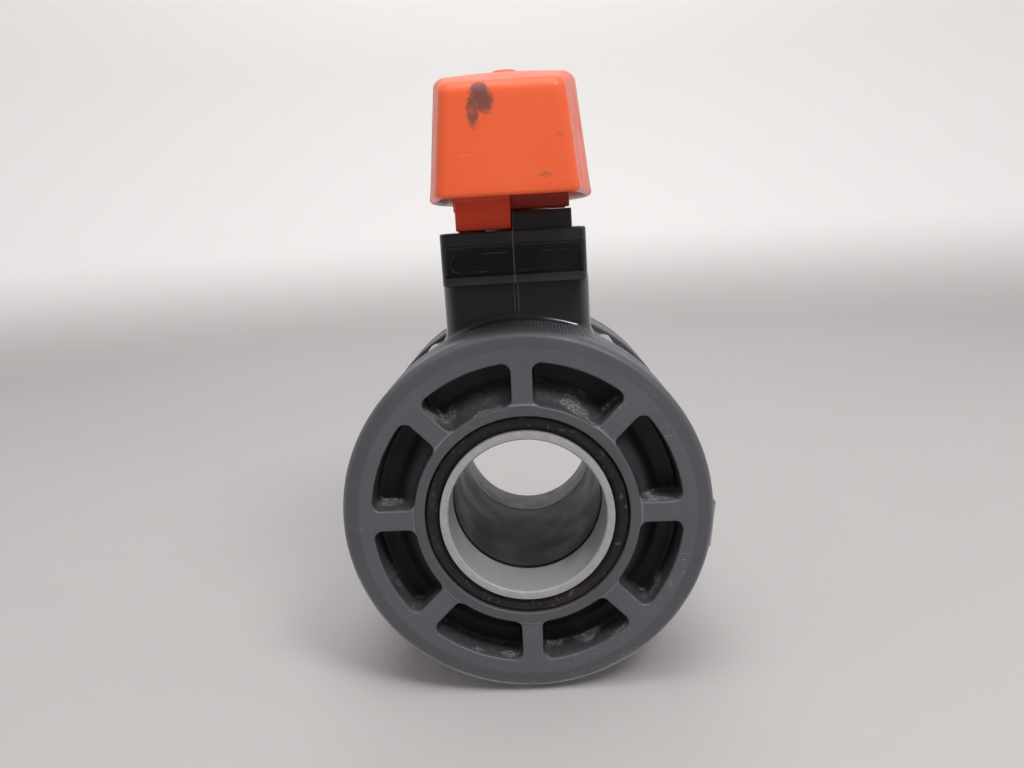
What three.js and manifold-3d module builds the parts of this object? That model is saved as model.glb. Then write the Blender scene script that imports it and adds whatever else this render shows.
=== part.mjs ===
// Quarter-turn union ball valve for 63 mm plastic pipe, open, with a cut pipe stub in each socket.
// Millimetres, +Z up. The pipe runs along Y, the front end is at -Y and the stem stands along +Z.
// Heights named below count from the pipe axis; the origin is on the surface that the foot rests on.
import * as THREE from 'three';
import { mergeVertices } from 'three/addons/utils/BufferGeometryUtils.js';
import Module from 'manifold-3d';

const wasm = await Module();
wasm.setup();

// ---- Driving dimensions -------------------------------------------------------------------
const GAP = 0.3; // clearance between neighbouring pieces
const AXIS_HEIGHT = 68.5; // pipe axis above the resting surface
const FACE = 56; // stem axis to the outer face of each union nut
const BORE = 28.2; // radius of the way through the ball
const PIPE = { radius: 31.5, wall: 3, end: 34.3, bevel: 0.6 };

const SOCKET = { radius: 31.8, wall: 36.6, bottom: 34, mouth: 54.8, lead: 1.4, nose: 33.6, noseWall: 34.6 };
const FLANGE = { radius: 53.6, inner: 36.5, outer: 40.4 }; // on the end connector
const NUT = {
  radius: 67, faceRadius: 61, bore: 37, shoulder: 40.7, rear: 20, edge: 6.5,
  thread: 54.3, ribs: 8, ribWidth: 7.5, pocketInner: 40.7, pocketOuter: 56.2, pocketFloor: 43.6,
  pocketCorner: 3.2, padRadius: 68.2, padAngle: 96.5, padWidth: 17, padEnds: [27, 49], clocking: 0.8,
};
const BARREL = { radius: 60, half: 19.5, thread: 54, end: 36.2, cavity: 45 };
const CARRIER = { radius: 47.6, inner: 22, outer: 36.2, lip: 33.6, lipRadius: 35.2 };
const BALL = { radius: 43.4, slotLength: 48, slotWidth: 9.6, slotFloor: 37 };
const SEAT = { inner: 31.2, outer: 38.3, back: 33.3, front: 24 };
const STEM = {
  radius: 11, collar: 14, collarBottom: 46.2, collarTop: 50, tangLength: 24, tangWidth: 9,
  tangBottom: 37.4, roundTop: 103.5, square: 15.2, top: 146, grooves: [64, 76], screwHole: 3,
};
const COLUMN = {
  width: 57, depth: 34, corner: 6, flareStart: 63, flareRadius: 9, bottom: 46, saddle: 66.4,
};
const BLOCK = { width: 54.5, depth: 54, bottom: 81.4, top: 101.2, corner: 2, recess: 2.4 };
const BAND = { bottom: 84.8, top: 96.4, side: 1.4 }; // the sunk band round the front and rear of the block
const STOP = { height: 7, near: 15, far: 22, reach: 22.5 };
const FOOT = { width: 66, depth: 36, corner: 4, top: -46, insertSpacing: 44, insertDepth: 12 };
const HANDLE = {
  half: 74, endWidth: 45.8, hubWidth: 62.4, bottom: 112.4, endTop: 147.2, crown: 157, wall: 3,
  draft: 5.9, corner: 4, bossRadius: 14.5, capSeat: 149.5, capBore: 8.2,
};
const CAP_TOP = 161.7;
const SIDES = { large: 40, medium: 24, small: 20 }; // flats round a turned piece

// ---- Colours ------------------------------------------------------------------------------
const finish = (color, roughness, metalness = 0) =>
  new THREE.MeshStandardMaterial({ color, roughness, metalness });
const DARK_PLASTIC = finish(0x1c1d20, 0.28);
const GREY_PLASTIC = finish(0x47484d, 0.5);
const BLACK_PLASTIC = finish(0x101012, 0.4);
const PIPE_PLASTIC = finish(0xa3a5a6, 0.55);
const ORANGE_PLASTIC = finish(0xe8521f, 0.42);
const SEAT_PLASTIC = finish(0xeceae2, 0.4);
const BALL_PLASTIC = finish(0x5b5d60, 0.25);
const RUBBER = finish(0x0c0c0d, 0.7);
const STEEL = finish(0xb9bbbd, 0.3, 1);
const BRASS = finish(0xb98d45, 0.35, 1);

// ---- Outlines -----------------------------------------------------------------------------
const radians = THREE.MathUtils.degToRad;

// A closed loop of [x, y, radius] corners, each rounded to its radius with short arcs.
function roundedLoop(corners, arcSteps = 3) {
  const points = [];
  corners.forEach(([x, y, radius = 0], index) => {
    const corner = new THREE.Vector2(x, y);
    if (radius === 0) {
      points.push(corner);
      return;
    }
    const before = corners[(index + corners.length - 1) % corners.length];
    const after = corners[(index + 1) % corners.length];
    const toBefore = new THREE.Vector2(before[0], before[1]).sub(corner).normalize();
    const toAfter = new THREE.Vector2(after[0], after[1]).sub(corner).normalize();
    const halfAngle = Math.acos(THREE.MathUtils.clamp(toBefore.dot(toAfter), -1, 1)) / 2;
    const centre = toBefore.clone().add(toAfter).normalize();
    centre.multiplyScalar(radius / Math.sin(halfAngle)).add(corner);
    const reach = radius / Math.tan(halfAngle);
    const start = corner.clone().addScaledVector(toBefore, reach).sub(centre);
    const end = corner.clone().addScaledVector(toAfter, reach).sub(centre);
    const sweep = Math.atan2(start.cross(end), start.dot(end));
    const origin = new THREE.Vector2();
    for (let step = 0; step <= arcSteps; step += 1) {
      points.push(start.clone().rotateAround(origin, (sweep * step) / arcSteps).add(centre));
    }
  });
  return points;
}

const rectangle = (width, depth, corner = 0, x = 0, y = 0) => roundedLoop([
  [x - width / 2, y - depth / 2, corner], [x + width / 2, y - depth / 2, corner],
  [x + width / 2, y + depth / 2, corner], [x - width / 2, y + depth / 2, corner],
]);

const arcPoints = (radius, from, to, steps) => Array.from({ length: steps + 1 }, (_, step) => {
  const angle = from + ((to - from) * step) / steps;
  return [radius * Math.sin(angle), radius * Math.cos(angle)];
});

const circleLoop = (radius, centreX, centreY, steps) => arcPoints(radius, 0, 2 * Math.PI, steps)
  .slice(1).map(([x, y]) => [centreX + x, centreY + y]);

// ---- Solids -------------------------------------------------------------------------------
// Shared vertices merged and faces turned outward, so that the piece is one closed body.
function closed(source) {
  const bare = source.index ? source.toNonIndexed() : source.clone();
  bare.deleteAttribute('normal');
  bare.deleteAttribute('uv');
  const geometry = mergeVertices(bare, 1e-4);
  const kept = [];
  const corner = [new THREE.Vector3(), new THREE.Vector3(), new THREE.Vector3()];
  let volume = 0;
  for (let i = 0; i < geometry.index.count; i += 3) {
    const trio = [0, 1, 2].map((k) => geometry.index.getX(i + k));
    if (new Set(trio).size < 3) continue;
    trio.forEach((vertex, k) => corner[k].fromBufferAttribute(geometry.attributes.position, vertex));
    volume += corner[0].dot(corner[1].clone().cross(corner[2]));
    kept.push(trio);
  }
  geometry.setIndex(kept.flatMap((trio) => (volume < 0 ? trio.reverse() : trio)));
  return geometry;
}

function solid(source) {
  const geometry = closed(source);
  return new wasm.Manifold(new wasm.Mesh({
    numProp: 3,
    vertProperties: new Float32Array(geometry.attributes.position.array),
    triVerts: new Uint32Array(geometry.index.array),
  }));
}

function geometryOf(manifold) {
  const mesh = manifold.getMesh();
  const geometry = new THREE.BufferGeometry();
  geometry.setAttribute('position', new THREE.BufferAttribute(mesh.vertProperties, 3));
  geometry.setIndex(new THREE.BufferAttribute(mesh.triVerts, 1));
  return geometry;
}

const joined = (...geometries) => geometries.map(solid).reduce((a, b) => a.add(b));
const cutAway = (blank, ...tools) => tools.map(solid).reduce((a, b) => a.subtract(b), blank);

// A turned piece on the pipe axis: [radius, distance from the stem towards the front face].
function ring(loop, sides = SIDES.large) {
  const points = loop.map(([radius, out]) => new THREE.Vector2(radius, -out));
  return new THREE.LatheGeometry([...points, points[0].clone()], sides);
}

// A turned piece on the stem axis: [radius, height above the pipe axis].
function turned(loop, sides = SIDES.medium) {
  const points = loop.map(([radius, height]) => new THREE.Vector2(radius, height));
  return new THREE.LatheGeometry([...points, points[0].clone()], sides).rotateX(Math.PI / 2);
}

function extruded(outline, low, high, steps = 1) {
  const shape = new THREE.Shape(outline);
  const settings = { depth: high - low, bevelEnabled: false, steps };
  return new THREE.ExtrudeGeometry(shape, settings).translate(0, 0, low);
}

const towardsFront = (outline, low, high) => extruded(outline, low, high).rotateX(Math.PI / 2);

function reshaped(geometry, move) {
  const position = geometry.attributes.position;
  for (let i = 0; i < position.count; i += 1) {
    const [x, y, z] = move(position.getX(i), position.getY(i), position.getZ(i));
    position.setXYZ(i, x, y, z);
  }
  return geometry;
}

const oRing = (radius, section, out) => ring(circleLoop(section, radius, out, 6), SIDES.medium);

// ---- Pieces at each end of the pipe run (made at the front, turned round for the rear) ----
function pipeStub() {
  const inner = PIPE.radius - PIPE.wall;
  return closed(ring([
    [inner, PIPE.end], [PIPE.radius, PIPE.end], [PIPE.radius, FACE],
    [inner + PIPE.bevel, FACE], [inner, FACE - PIPE.bevel],
  ]));
}

const FACE_SEAL = { radius: 50.5, section: 1.2, groove: 3.2, depth: 2.5 };

function endConnector() {
  const { radius, groove, depth } = FACE_SEAL;
  return closed(ring([
    [SOCKET.radius - 1.4, SOCKET.nose], [SOCKET.radius - 1.4, SOCKET.bottom],
    [SOCKET.radius, SOCKET.bottom],
    [SOCKET.radius, SOCKET.mouth - SOCKET.lead], [SOCKET.radius + SOCKET.lead, SOCKET.mouth],
    [SOCKET.wall, SOCKET.mouth], [SOCKET.wall, FLANGE.outer], [FLANGE.radius, FLANGE.outer],
    [FLANGE.radius, FLANGE.inner], [radius + groove / 2, FLANGE.inner],
    [radius + groove / 2, FLANGE.inner + depth], [radius - groove / 2, FLANGE.inner + depth],
    [radius - groove / 2, FLANGE.inner], [SOCKET.noseWall, FLANGE.inner],
    [SOCKET.noseWall, SOCKET.nose],
  ]));
}

const faceSeal = () => closed(oRing(FACE_SEAL.radius, FACE_SEAL.section, FLANGE.inner + 1.25));

// One sector opening in the nut's face, between two parallel-sided ribs.
function nutPocket(index) {
  const halfStep = Math.PI / NUT.ribs;
  const cornerAngle = (radius) => halfStep - Math.asin(NUT.ribWidth / 2 / radius);
  const outer = arcPoints(NUT.pocketOuter, -cornerAngle(NUT.pocketOuter), cornerAngle(NUT.pocketOuter), 6);
  const inner = arcPoints(NUT.pocketInner, cornerAngle(NUT.pocketInner), -cornerAngle(NUT.pocketInner), 5);
  [outer[0], outer.at(-1), inner[0], inner.at(-1)].forEach((corner) => corner.push(NUT.pocketCorner));
  return towardsFront(roundedLoop([...outer, ...inner]), NUT.pocketFloor, FACE + 1)
    .rotateY((2 * index + 1) * halfStep);
}

function unionNut() {
  const edge = arcPoints(1, 0, Math.PI / 2, 4).map(([across, back]) => [
    NUT.faceRadius + (NUT.radius - NUT.faceRadius) * across, FACE - NUT.edge * (1 - back),
  ]);
  const blank = ring([
    [NUT.bore, NUT.shoulder], [NUT.bore, FACE], ...edge, [NUT.radius, NUT.rear + 1],
    [NUT.radius - 1, NUT.rear], [NUT.thread + 1.2, NUT.rear], [NUT.thread, NUT.rear + 1.2],
    [NUT.thread, NUT.shoulder],
  ]);
  const padDepth = NUT.padRadius - NUT.thread - 4;
  const pad = towardsFront(
    rectangle(NUT.padWidth, padDepth, 0, 0, NUT.padRadius - padDepth / 2), ...NUT.padEnds,
  ).rotateY(radians(NUT.padAngle));
  const pockets = Array.from({ length: NUT.ribs }, (_, index) => nutPocket(index));
  return geometryOf(cutAway(joined(blank, pad), ...pockets)).rotateY(radians(NUT.clocking));
}

// ---- Seats and their carrier --------------------------------------------------------------
const CUSHION = { radius: 34.9, section: 1.05, groove: 3.0, depth: 2.4 };

const onSphere = (radius) => [radius, Math.sqrt((BALL.radius + GAP) ** 2 - radius ** 2)];

function seat() {
  const { radius, groove, depth } = CUSHION;
  const lipRadius = Math.sqrt((BALL.radius + GAP) ** 2 - SEAT.front ** 2);
  return closed(ring([
    onSphere(SEAT.inner), [SEAT.inner, SEAT.back], [radius - groove / 2, SEAT.back],
    [radius - groove / 2, SEAT.back - depth], [radius + groove / 2, SEAT.back - depth],
    [radius + groove / 2, SEAT.back], [SEAT.outer, SEAT.back], [SEAT.outer, SEAT.front],
    [lipRadius, SEAT.front], onSphere((lipRadius + SEAT.inner) / 2),
  ]));
}

const cushion = () => closed(oRing(CUSHION.radius, CUSHION.section, SEAT.back - 1.2));

const CARRIER_SEAL = { radius: 46.4, section: 0.9, groove: 2.4, at: 27 };

function seatCarrier() {
  const { radius, section, groove, at } = CARRIER_SEAL;
  const floor = radius - section - 0.5;
  const blank = ring([
    [CARRIER.lipRadius, CARRIER.lip], [CARRIER.lipRadius, CARRIER.outer],
    [CARRIER.radius, CARRIER.outer],
    [CARRIER.radius, at + groove / 2], [floor, at + groove / 2], [floor, at - groove / 2],
    [CARRIER.radius, at - groove / 2], [CARRIER.radius, CARRIER.inner],
    [SEAT.outer + GAP, CARRIER.inner], [SEAT.outer + GAP, CARRIER.lip],
  ]);
  const spannerSlots = [-1, 1].map((side) => towardsFront(
    rectangle(6, 5, 0, side * 43, 0), CARRIER.outer - 1.5, CARRIER.outer + 1,
  ));
  return geometryOf(cutAway(solid(blank), ...spannerSlots));
}

const carrierSeal = () => closed(
  oRing(CARRIER_SEAL.radius, CARRIER_SEAL.section, CARRIER_SEAL.at),
);

// ---- Ball and stem ------------------------------------------------------------------------
function ball() {
  const rim = Math.asin(BORE / BALL.radius);
  const sphere = arcPoints(BALL.radius, rim, Math.PI - rim, 12);
  const blank = ring(sphere, SIDES.large);
  const slot = extruded(rectangle(BALL.slotLength, BALL.slotWidth), BALL.slotFloor, BALL.radius + 2);
  return geometryOf(cutAway(solid(blank), slot));
}

const STEM_SEAL = { radius: 9.85, section: 1.15, groove: 3, floor: 8.5 };

function stem() {
  const grooves = STEM.grooves.flatMap((height) => [
    [STEM.radius, height - STEM_SEAL.groove / 2], [STEM_SEAL.floor, height - STEM_SEAL.groove / 2],
    [STEM_SEAL.floor, height + STEM_SEAL.groove / 2], [STEM.radius, height + STEM_SEAL.groove / 2],
  ]);
  const shaft = turned([
    [0, STEM.collarBottom], [STEM.collar, STEM.collarBottom], [STEM.collar, STEM.collarTop],
    [STEM.radius, STEM.collarTop], ...grooves, [STEM.radius, STEM.roundTop], [0, STEM.roundTop],
  ], SIDES.small);
  const tang = extruded(
    rectangle(STEM.tangLength, STEM.tangWidth), STEM.tangBottom, STEM.collarBottom + 1,
  );
  const drive = extruded(rectangle(STEM.square, STEM.square, 1), STEM.roundTop - 1, STEM.top);
  const screwHole = turned([
    [0, STEM.top - 22], [STEM.screwHole, STEM.top - 22], [STEM.screwHole, STEM.top + 1],
    [0, STEM.top + 1],
  ], SIDES.small);
  return geometryOf(cutAway(joined(shaft, tang, drive), screwHole));
}

const stemSeal = (height) => closed(
  turned(circleLoop(STEM_SEAL.section, STEM_SEAL.radius, height, 6), SIDES.small),
);

const thrustWasher = () => closed(turned([
  [STEM.radius + GAP, STEM.collarTop + GAP], [STEM.collar, STEM.collarTop + GAP],
  [STEM.collar, STEM.collarTop + 1.8], [STEM.radius + GAP, STEM.collarTop + 1.8],
], SIDES.small));

// ---- Valve body ---------------------------------------------------------------------------
function bodyBarrel() {
  const shoulder = 1.2;
  return ring([
    [0, BARREL.end], [BARREL.thread - 1, BARREL.end], [BARREL.thread, BARREL.end - 1],
    [BARREL.thread, BARREL.half], [BARREL.radius - shoulder, BARREL.half],
    [BARREL.radius, BARREL.half - shoulder], [BARREL.radius, shoulder - BARREL.half],
    [BARREL.radius - shoulder, -BARREL.half], [BARREL.thread, -BARREL.half],
    [BARREL.thread, 1 - BARREL.end], [BARREL.thread - 1, -BARREL.end], [0, -BARREL.end],
  ]);
}

// An upright under the block, widening across the pipe where it runs down into the barrel.
function upright(depth, top) {
  const outline = rectangle(COLUMN.width, depth, COLUMN.corner);
  return solid(reshaped(extruded(outline, COLUMN.bottom, top, 10), (x, y, z) => {
    const drop = Math.min(Math.max(COLUMN.flareStart - z, 0), COLUMN.flareRadius);
    const widening = COLUMN.flareRadius - Math.sqrt(COLUMN.flareRadius ** 2 - drop ** 2);
    return [x * (1 + widening / (COLUMN.width / 2)), y, z];
  }));
}

// The neck, on a saddle that is as deep as the barrel and round like it.
function bodyColumn() {
  const { half } = BARREL;
  const drum = ring([[0, half], [COLUMN.saddle, half], [COLUMN.saddle, -half], [0, -half]]);
  const saddle = upright(2 * half, COLUMN.saddle + 1).intersect(solid(drum));
  return upright(COLUMN.depth, BLOCK.bottom + 1).add(saddle);
}

function blockBands() {
  const front = BLOCK.depth / 2;
  return [-1, 1].map((side) => extruded(
    rectangle(BLOCK.width - 2 * BAND.side, 2 * BLOCK.recess, 0.8, 0, side * front), BAND.bottom, BAND.top,
  ));
}

// Two upstands on the block: the handle's lug rests on the first when open, the second when closed.
function bodyStops() {
  const high = BLOCK.top + STOP.height;
  const middle = (STOP.near + STOP.far) / 2;
  const thick = STOP.far - STOP.near;
  const open = rectangle(STOP.reach, thick, 0.8, STOP.reach / 2, -middle);
  const shut = rectangle(12, 5, 0.8, -18, STOP.far + 2.3);
  return [open, shut].map((outline) => extruded(outline, BLOCK.top - 1, high));
}

function footInsertHoles() {
  return [-1, 1].map((side) => turned([
    [0, -AXIS_HEIGHT - 1], [5.3, -AXIS_HEIGHT - 1], [5.3, FOOT.insertDepth + GAP - AXIS_HEIGHT],
    [0, FOOT.insertDepth + GAP - AXIS_HEIGHT],
  ], SIDES.small).translate((side * FOOT.insertSpacing) / 2, 0, 0));
}

function bodyCavity() {
  const seatPocket = SEAT.outer + GAP;
  const behindSeat = SEAT.back + GAP;
  return ring([
    [0, BARREL.end + 1], [CARRIER.radius + GAP, BARREL.end + 1],
    [CARRIER.radius + GAP, CARRIER.inner - GAP], [BARREL.cavity, CARRIER.inner - GAP],
    [BARREL.cavity, 1 - SEAT.front], [seatPocket, 1 - SEAT.front], [seatPocket, -behindSeat],
    [CARRIER.lipRadius, -behindSeat], [CARRIER.lipRadius, -BARREL.end - 1], [0, -BARREL.end - 1],
  ]);
}

const stemPassage = () => turned([
  [0, BORE], [STEM.collar + 0.6, BORE], [STEM.collar + 0.6, STEM.collarTop + 2.1],
  [STEM.radius + GAP, STEM.collarTop + 2.1], [STEM.radius + GAP, BLOCK.top + 1],
  [0, BLOCK.top + 1],
], SIDES.small);

function valveBody() {
  const block = extruded(rectangle(BLOCK.width, BLOCK.depth, BLOCK.corner), BLOCK.bottom, BLOCK.top);
  const foot = extruded(rectangle(FOOT.width, FOOT.depth, FOOT.corner), -AXIS_HEIGHT, FOOT.top);
  const blank = joined(bodyBarrel(), block, foot, ...bodyStops()).add(bodyColumn());
  return geometryOf(cutAway(blank, bodyCavity(), stemPassage(), ...blockBands(), ...footInsertHoles()));
}

const footInsert = (side) => closed(turned([
  [3.3, -AXIS_HEIGHT + 0.2], [5, -AXIS_HEIGHT + 0.2], [5, FOOT.insertDepth - AXIS_HEIGHT],
  [3.3, FOOT.insertDepth - AXIS_HEIGHT],
], SIDES.small).translate((side * FOOT.insertSpacing) / 2, 0, 0));

// ---- Handle -------------------------------------------------------------------------------
// The handle's outer form moved in by an inset: a plan outline with drafted sides and a crowned top.
function handleForm(inset, bottom) {
  const half = HANDLE.half - inset;
  const endHalf = HANDLE.endWidth / 2 - inset;
  const hubHalf = HANDLE.hubWidth / 2 - inset;
  const steps = 12;
  const side = Array.from({ length: steps + 1 }, (_, step) => {
    const along = -half + (2 * half * step) / steps;
    return [endHalf + (hubHalf - endHalf) * Math.cos((Math.PI / 2) * (along / half)) ** 1.2, along];
  });
  const corner = HANDLE.corner - inset / 2;
  side[0].push(corner);
  side.at(-1).push(corner);
  const mirrored = side.map(([x, y, radius]) => [-x, y, radius]).reverse();
  const plan = roundedLoop([...side, ...mirrored]);
  const narrowing = Math.tan(radians(HANDLE.draft));
  const drafted = reshaped(extruded(plan, bottom, HANDLE.crown + 2, 4), (x, y, z) => {
    const offset = narrowing * (z - HANDLE.bottom);
    return [x - Math.sign(x) * Math.min(offset, Math.abs(x)), y, z];
  });
  const rise = HANDLE.crown - HANDLE.endTop;
  const crown = Array.from({ length: steps + 1 }, (_, step) => {
    const along = half - (2 * half * step) / steps;
    return [along, HANDLE.endTop - inset + rise * (1 - (along / half) ** 2)];
  });
  crown[0].push(corner);
  crown.at(-1).push(corner);
  const profile = roundedLoop([[-half, bottom - 1], [half, bottom - 1], ...crown]);
  const slab = extruded(profile, -HANDLE.hubWidth, HANDLE.hubWidth)
    .rotateX(Math.PI / 2).rotateZ(Math.PI / 2);
  return solid(drafted).intersect(solid(slab));
}

// The skirt inside the handle, over the block: its front wall carries the lug that meets the stops.
function handleSkirt() {
  const high = HANDLE.endTop;
  const middle = (STOP.near + STOP.far) / 2;
  const thick = STOP.far - STOP.near;
  const clearOfStops = BLOCK.top + STOP.height + 0.6;
  const walls = [-1, 1].map((side) => extruded(
    rectangle(2 * STOP.far, 3, 0, 0, side * (STOP.near + 1.5)), clearOfStops, high,
  ));
  const lug = extruded(
    rectangle(STOP.far - 1, thick, 0.8, -STOP.far / 2 + 0.2, -middle), BLOCK.top + 0.6, high,
  );
  const boss = turned([
    [0, BLOCK.top + 3.4], [HANDLE.bossRadius, BLOCK.top + 3.4], [HANDLE.bossRadius, HANDLE.crown - 2],
    [0, HANDLE.crown - 2],
  ], SIDES.medium);
  const ribs = [-1, 1].map((side) => extruded(
    rectangle(3, 2 * STOP.near, 0, side * 8, 0), clearOfStops, high,
  ));
  return [...walls, lug, boss, ...ribs];
}

function handle() {
  const shell = handleForm(0, HANDLE.bottom).subtract(handleForm(HANDLE.wall, HANDLE.bottom - 1));
  const inside = joined(...handleSkirt()).intersect(handleForm(1, BLOCK.top));
  const socket = extruded(
    rectangle(STEM.square + 2 * GAP, STEM.square + 2 * GAP), BLOCK.top, STEM.top + GAP,
  );
  const stemClearance = turned([
    [0, BLOCK.top], [STEM.radius + 0.5, BLOCK.top], [STEM.radius + 0.5, STEM.roundTop + 2],
    [0, STEM.roundTop + 2],
  ], SIDES.small);
  const screwWay = turned([
    [0, STEM.top - 1], [3.6, STEM.top - 1], [3.6, HANDLE.capSeat], [HANDLE.capBore, HANDLE.capSeat],
    [HANDLE.capBore, HANDLE.crown + 3], [0, HANDLE.crown + 3],
  ], SIDES.small);
  return geometryOf(cutAway(shell.add(inside), socket, stemClearance, screwWay));
}

const handleWasher = () => closed(turned([
  [3.4, HANDLE.capSeat + GAP], [7.4, HANDLE.capSeat + GAP], [7.4, HANDLE.capSeat + 1.5],
  [3.4, HANDLE.capSeat + 1.5],
], SIDES.small));

function handleScrew() {
  const headBottom = HANDLE.capSeat + 1.8;
  const blank = turned([
    [0, STEM.top - 20], [2.7, STEM.top - 19], [2.7, headBottom], [5.4, headBottom],
    [5.4, headBottom + 1.6], [4.2, headBottom + 2.8], [0, headBottom + 2.8],
  ], SIDES.small);
  const cross = [rectangle(5.6, 1.2), rectangle(1.2, 5.6)].map(
    (outline) => extruded(outline, headBottom + 1, headBottom + 4),
  );
  return geometryOf(cutAway(solid(blank), ...cross));
}

function handleCap() {
  const low = HANDLE.crown + GAP;
  const skirt = HANDLE.capBore - GAP;
  return closed(turned([
    [0, low + 0.8], [skirt - 1.2, low + 0.8], [skirt - 1.2, low - 1.9], [skirt, low - 1.9], [skirt, low],
    [9.6, low], [9.6, low + 0.8], [6, low + 2.4], [5.4, CAP_TOP - 0.7], [4.6, CAP_TOP], [0, CAP_TOP],
  ], SIDES.medium));
}

// ---- Assembly -----------------------------------------------------------------------------
const valve = new THREE.Group();
valve.position.z = AXIS_HEIGHT;
const assembly = new THREE.Group();
assembly.add(valve);

function add(name, geometry, material, turn = 0) {
  const mesh = new THREE.Mesh(geometry, material);
  mesh.name = name;
  mesh.rotation.z = turn;
  valve.add(mesh);
}

add('valve_body', valveBody(), DARK_PLASTIC);
add('ball', ball(), BALL_PLASTIC);
add('stem', stem(), DARK_PLASTIC);
add('stem_thrust_washer', thrustWasher(), SEAT_PLASTIC);
add('stem_oring_lower', stemSeal(STEM.grooves[0]), RUBBER);
add('stem_oring_upper', stemSeal(STEM.grooves[1]), RUBBER);
add('seat_carrier', seatCarrier(), BLACK_PLASTIC);
add('seat_carrier_oring', carrierSeal(), RUBBER);

for (const [end, turn] of [['front', 0], ['rear', Math.PI]]) {
  add(`seat_${end}`, seat(), SEAT_PLASTIC, turn);
  add(`seat_cushion_oring_${end}`, cushion(), RUBBER, turn);
  add(`end_connector_${end}`, endConnector(), BLACK_PLASTIC, turn);
  add(`face_oring_${end}`, faceSeal(), RUBBER, turn);
  add(`union_nut_${end}`, unionNut(), GREY_PLASTIC, turn);
  add(`pipe_stub_${end}`, pipeStub(), PIPE_PLASTIC, turn);
}

add('foot_insert_left', footInsert(-1), BRASS);
add('foot_insert_right', footInsert(1), BRASS);
add('handle', handle(), ORANGE_PLASTIC);
add('handle_screw', handleScrew(), STEEL);
add('handle_washer', handleWasher(), STEEL);
add('handle_cap', handleCap(), ORANGE_PLASTIC);

export default assembly;
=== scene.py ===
# Quarter-turn union ball valve: the fine surface and the finish of every piece.
# Shapes are worked out in millimetres, with heights counted from the pipe axis, and piece() puts
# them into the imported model's frame in metres. The pipe runs along Y, the front is at -Y, and the
# stem runs along +Z. A distance called "out" runs from the stem axis towards the front; rear pieces
# are front ones turned half round the stem.
import functools
import math

import bmesh
import bpy
from mathutils import Matrix, Vector


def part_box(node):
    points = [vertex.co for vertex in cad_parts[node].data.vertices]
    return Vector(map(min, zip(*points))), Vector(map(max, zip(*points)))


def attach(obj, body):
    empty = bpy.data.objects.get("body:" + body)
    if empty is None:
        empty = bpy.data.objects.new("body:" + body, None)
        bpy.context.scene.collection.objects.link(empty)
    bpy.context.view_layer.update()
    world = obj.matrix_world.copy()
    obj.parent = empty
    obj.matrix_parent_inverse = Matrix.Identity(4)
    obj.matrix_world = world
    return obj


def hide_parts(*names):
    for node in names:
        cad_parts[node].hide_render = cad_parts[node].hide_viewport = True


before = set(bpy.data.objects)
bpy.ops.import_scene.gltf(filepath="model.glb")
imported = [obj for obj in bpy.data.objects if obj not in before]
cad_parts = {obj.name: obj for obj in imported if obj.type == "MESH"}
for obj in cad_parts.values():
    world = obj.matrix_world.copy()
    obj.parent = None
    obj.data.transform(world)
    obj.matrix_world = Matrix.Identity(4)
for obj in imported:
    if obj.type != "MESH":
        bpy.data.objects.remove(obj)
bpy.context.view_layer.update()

# ---- Driving dimensions -------------------------------------------------------------------------
MM = 0.001
stub_low, stub_high = (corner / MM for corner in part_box("pipe_stub_front"))
AXIS_HEIGHT = (stub_low.z + stub_high.z) / 2
FACE = -stub_low.y  # stem axis to the outer face of each union nut
PIPE_RADIUS = (stub_high.z - stub_low.z) / 2
PIPE_END = -stub_high.y
PIPE_WALL = 3.0
BORE = 28.2  # radius of the way through the ball
GAP = 0.3

NUT = {
    "radius": 67, "face_radius": 61, "edge": 6.5, "rear": 20, "bore": 37, "shoulder": 40.7,
    "thread": 54.3, "ribs": 8, "rib": 7.5, "pocket_inner": 40.7, "pocket_outer": 56.2,
    "pocket_floor": 43.6, "corner": 3.2, "least_corner": 0.4, "lip": 0.5, "rim_edge": 3.4,
    "pad_radius": 68.2, "pad_angle": 96.5, "pad_half": 8.5, "pad_ends": (27, 49), "clocking": 0.8,
}
HUB = {"radius": 40.9, "width": 0.7, "step": 0.5, "rise": 6.5, "slope_end": 49.5}
GRIP = {"teeth_per_cell": 40, "depth": 0.3, "front": 46.6, "run_out": 1.0}
THREAD = {"pitch": 5.0, "depth": 1.5, "step": 0.45, "run_in": 1.6}
SOCKET = {
    "radius": 31.8, "wall": 36.6, "bottom": 34, "mouth": 54.8, "nose": 33.6, "nose_wall": 34.6,
    "shoulder": 1.4,
}
FLANGE = {"radius": 53.6, "inner": 36.5, "outer": 40.4}
BARREL = {"radius": 60, "half": 19.5, "thread": 54, "end": 36.2, "cavity": 45}
CARRIER = {
    "radius": 47.6, "inner": 22, "outer": 36.2, "lip": 33.6, "lip_radius": 35.2,
    "notch": (6, 3), "notch_depth": 2.5, "notch_at": 43,
}
BALL = {"radius": 43.4, "slot_length": 48, "slot_width": 9.6, "slot_floor": 37}
SEAT = {"inner": 31.2, "outer": 38.3, "back": 33.3, "front": 24}
STEM = {
    "radius": 11, "collar": 14, "collar_bottom": 46.2, "collar_top": 50, "tang_length": 24,
    "tang_width": 9, "tang_bottom": 37.4, "round_top": 103.5, "square": 15.2, "top": 146,
    "grooves": (64, 76), "screw_hole": 3, "hole_depth": 22,
}
COLUMN = {
    "width": 57, "depth": 34, "corner": 6, "flare_start": 64, "flare_radius": 9, "bottom": 46,
    "saddle": 66.4,
}
BLOCK = {
    "width": 54.5, "depth": 54, "bottom": 81.4, "top": 101.2, "corner": 2, "edge": 0.7,
    "recess": 2.4,
}
BAND = {"bottom": 84.8, "top": 96.4, "side": 1.4, "corner": 0.9, "edge": 0.7}
FLASH = {"apart": 0.75, "proud": 0.16, "width": 0.5, "neck_width": 0.34}
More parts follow.
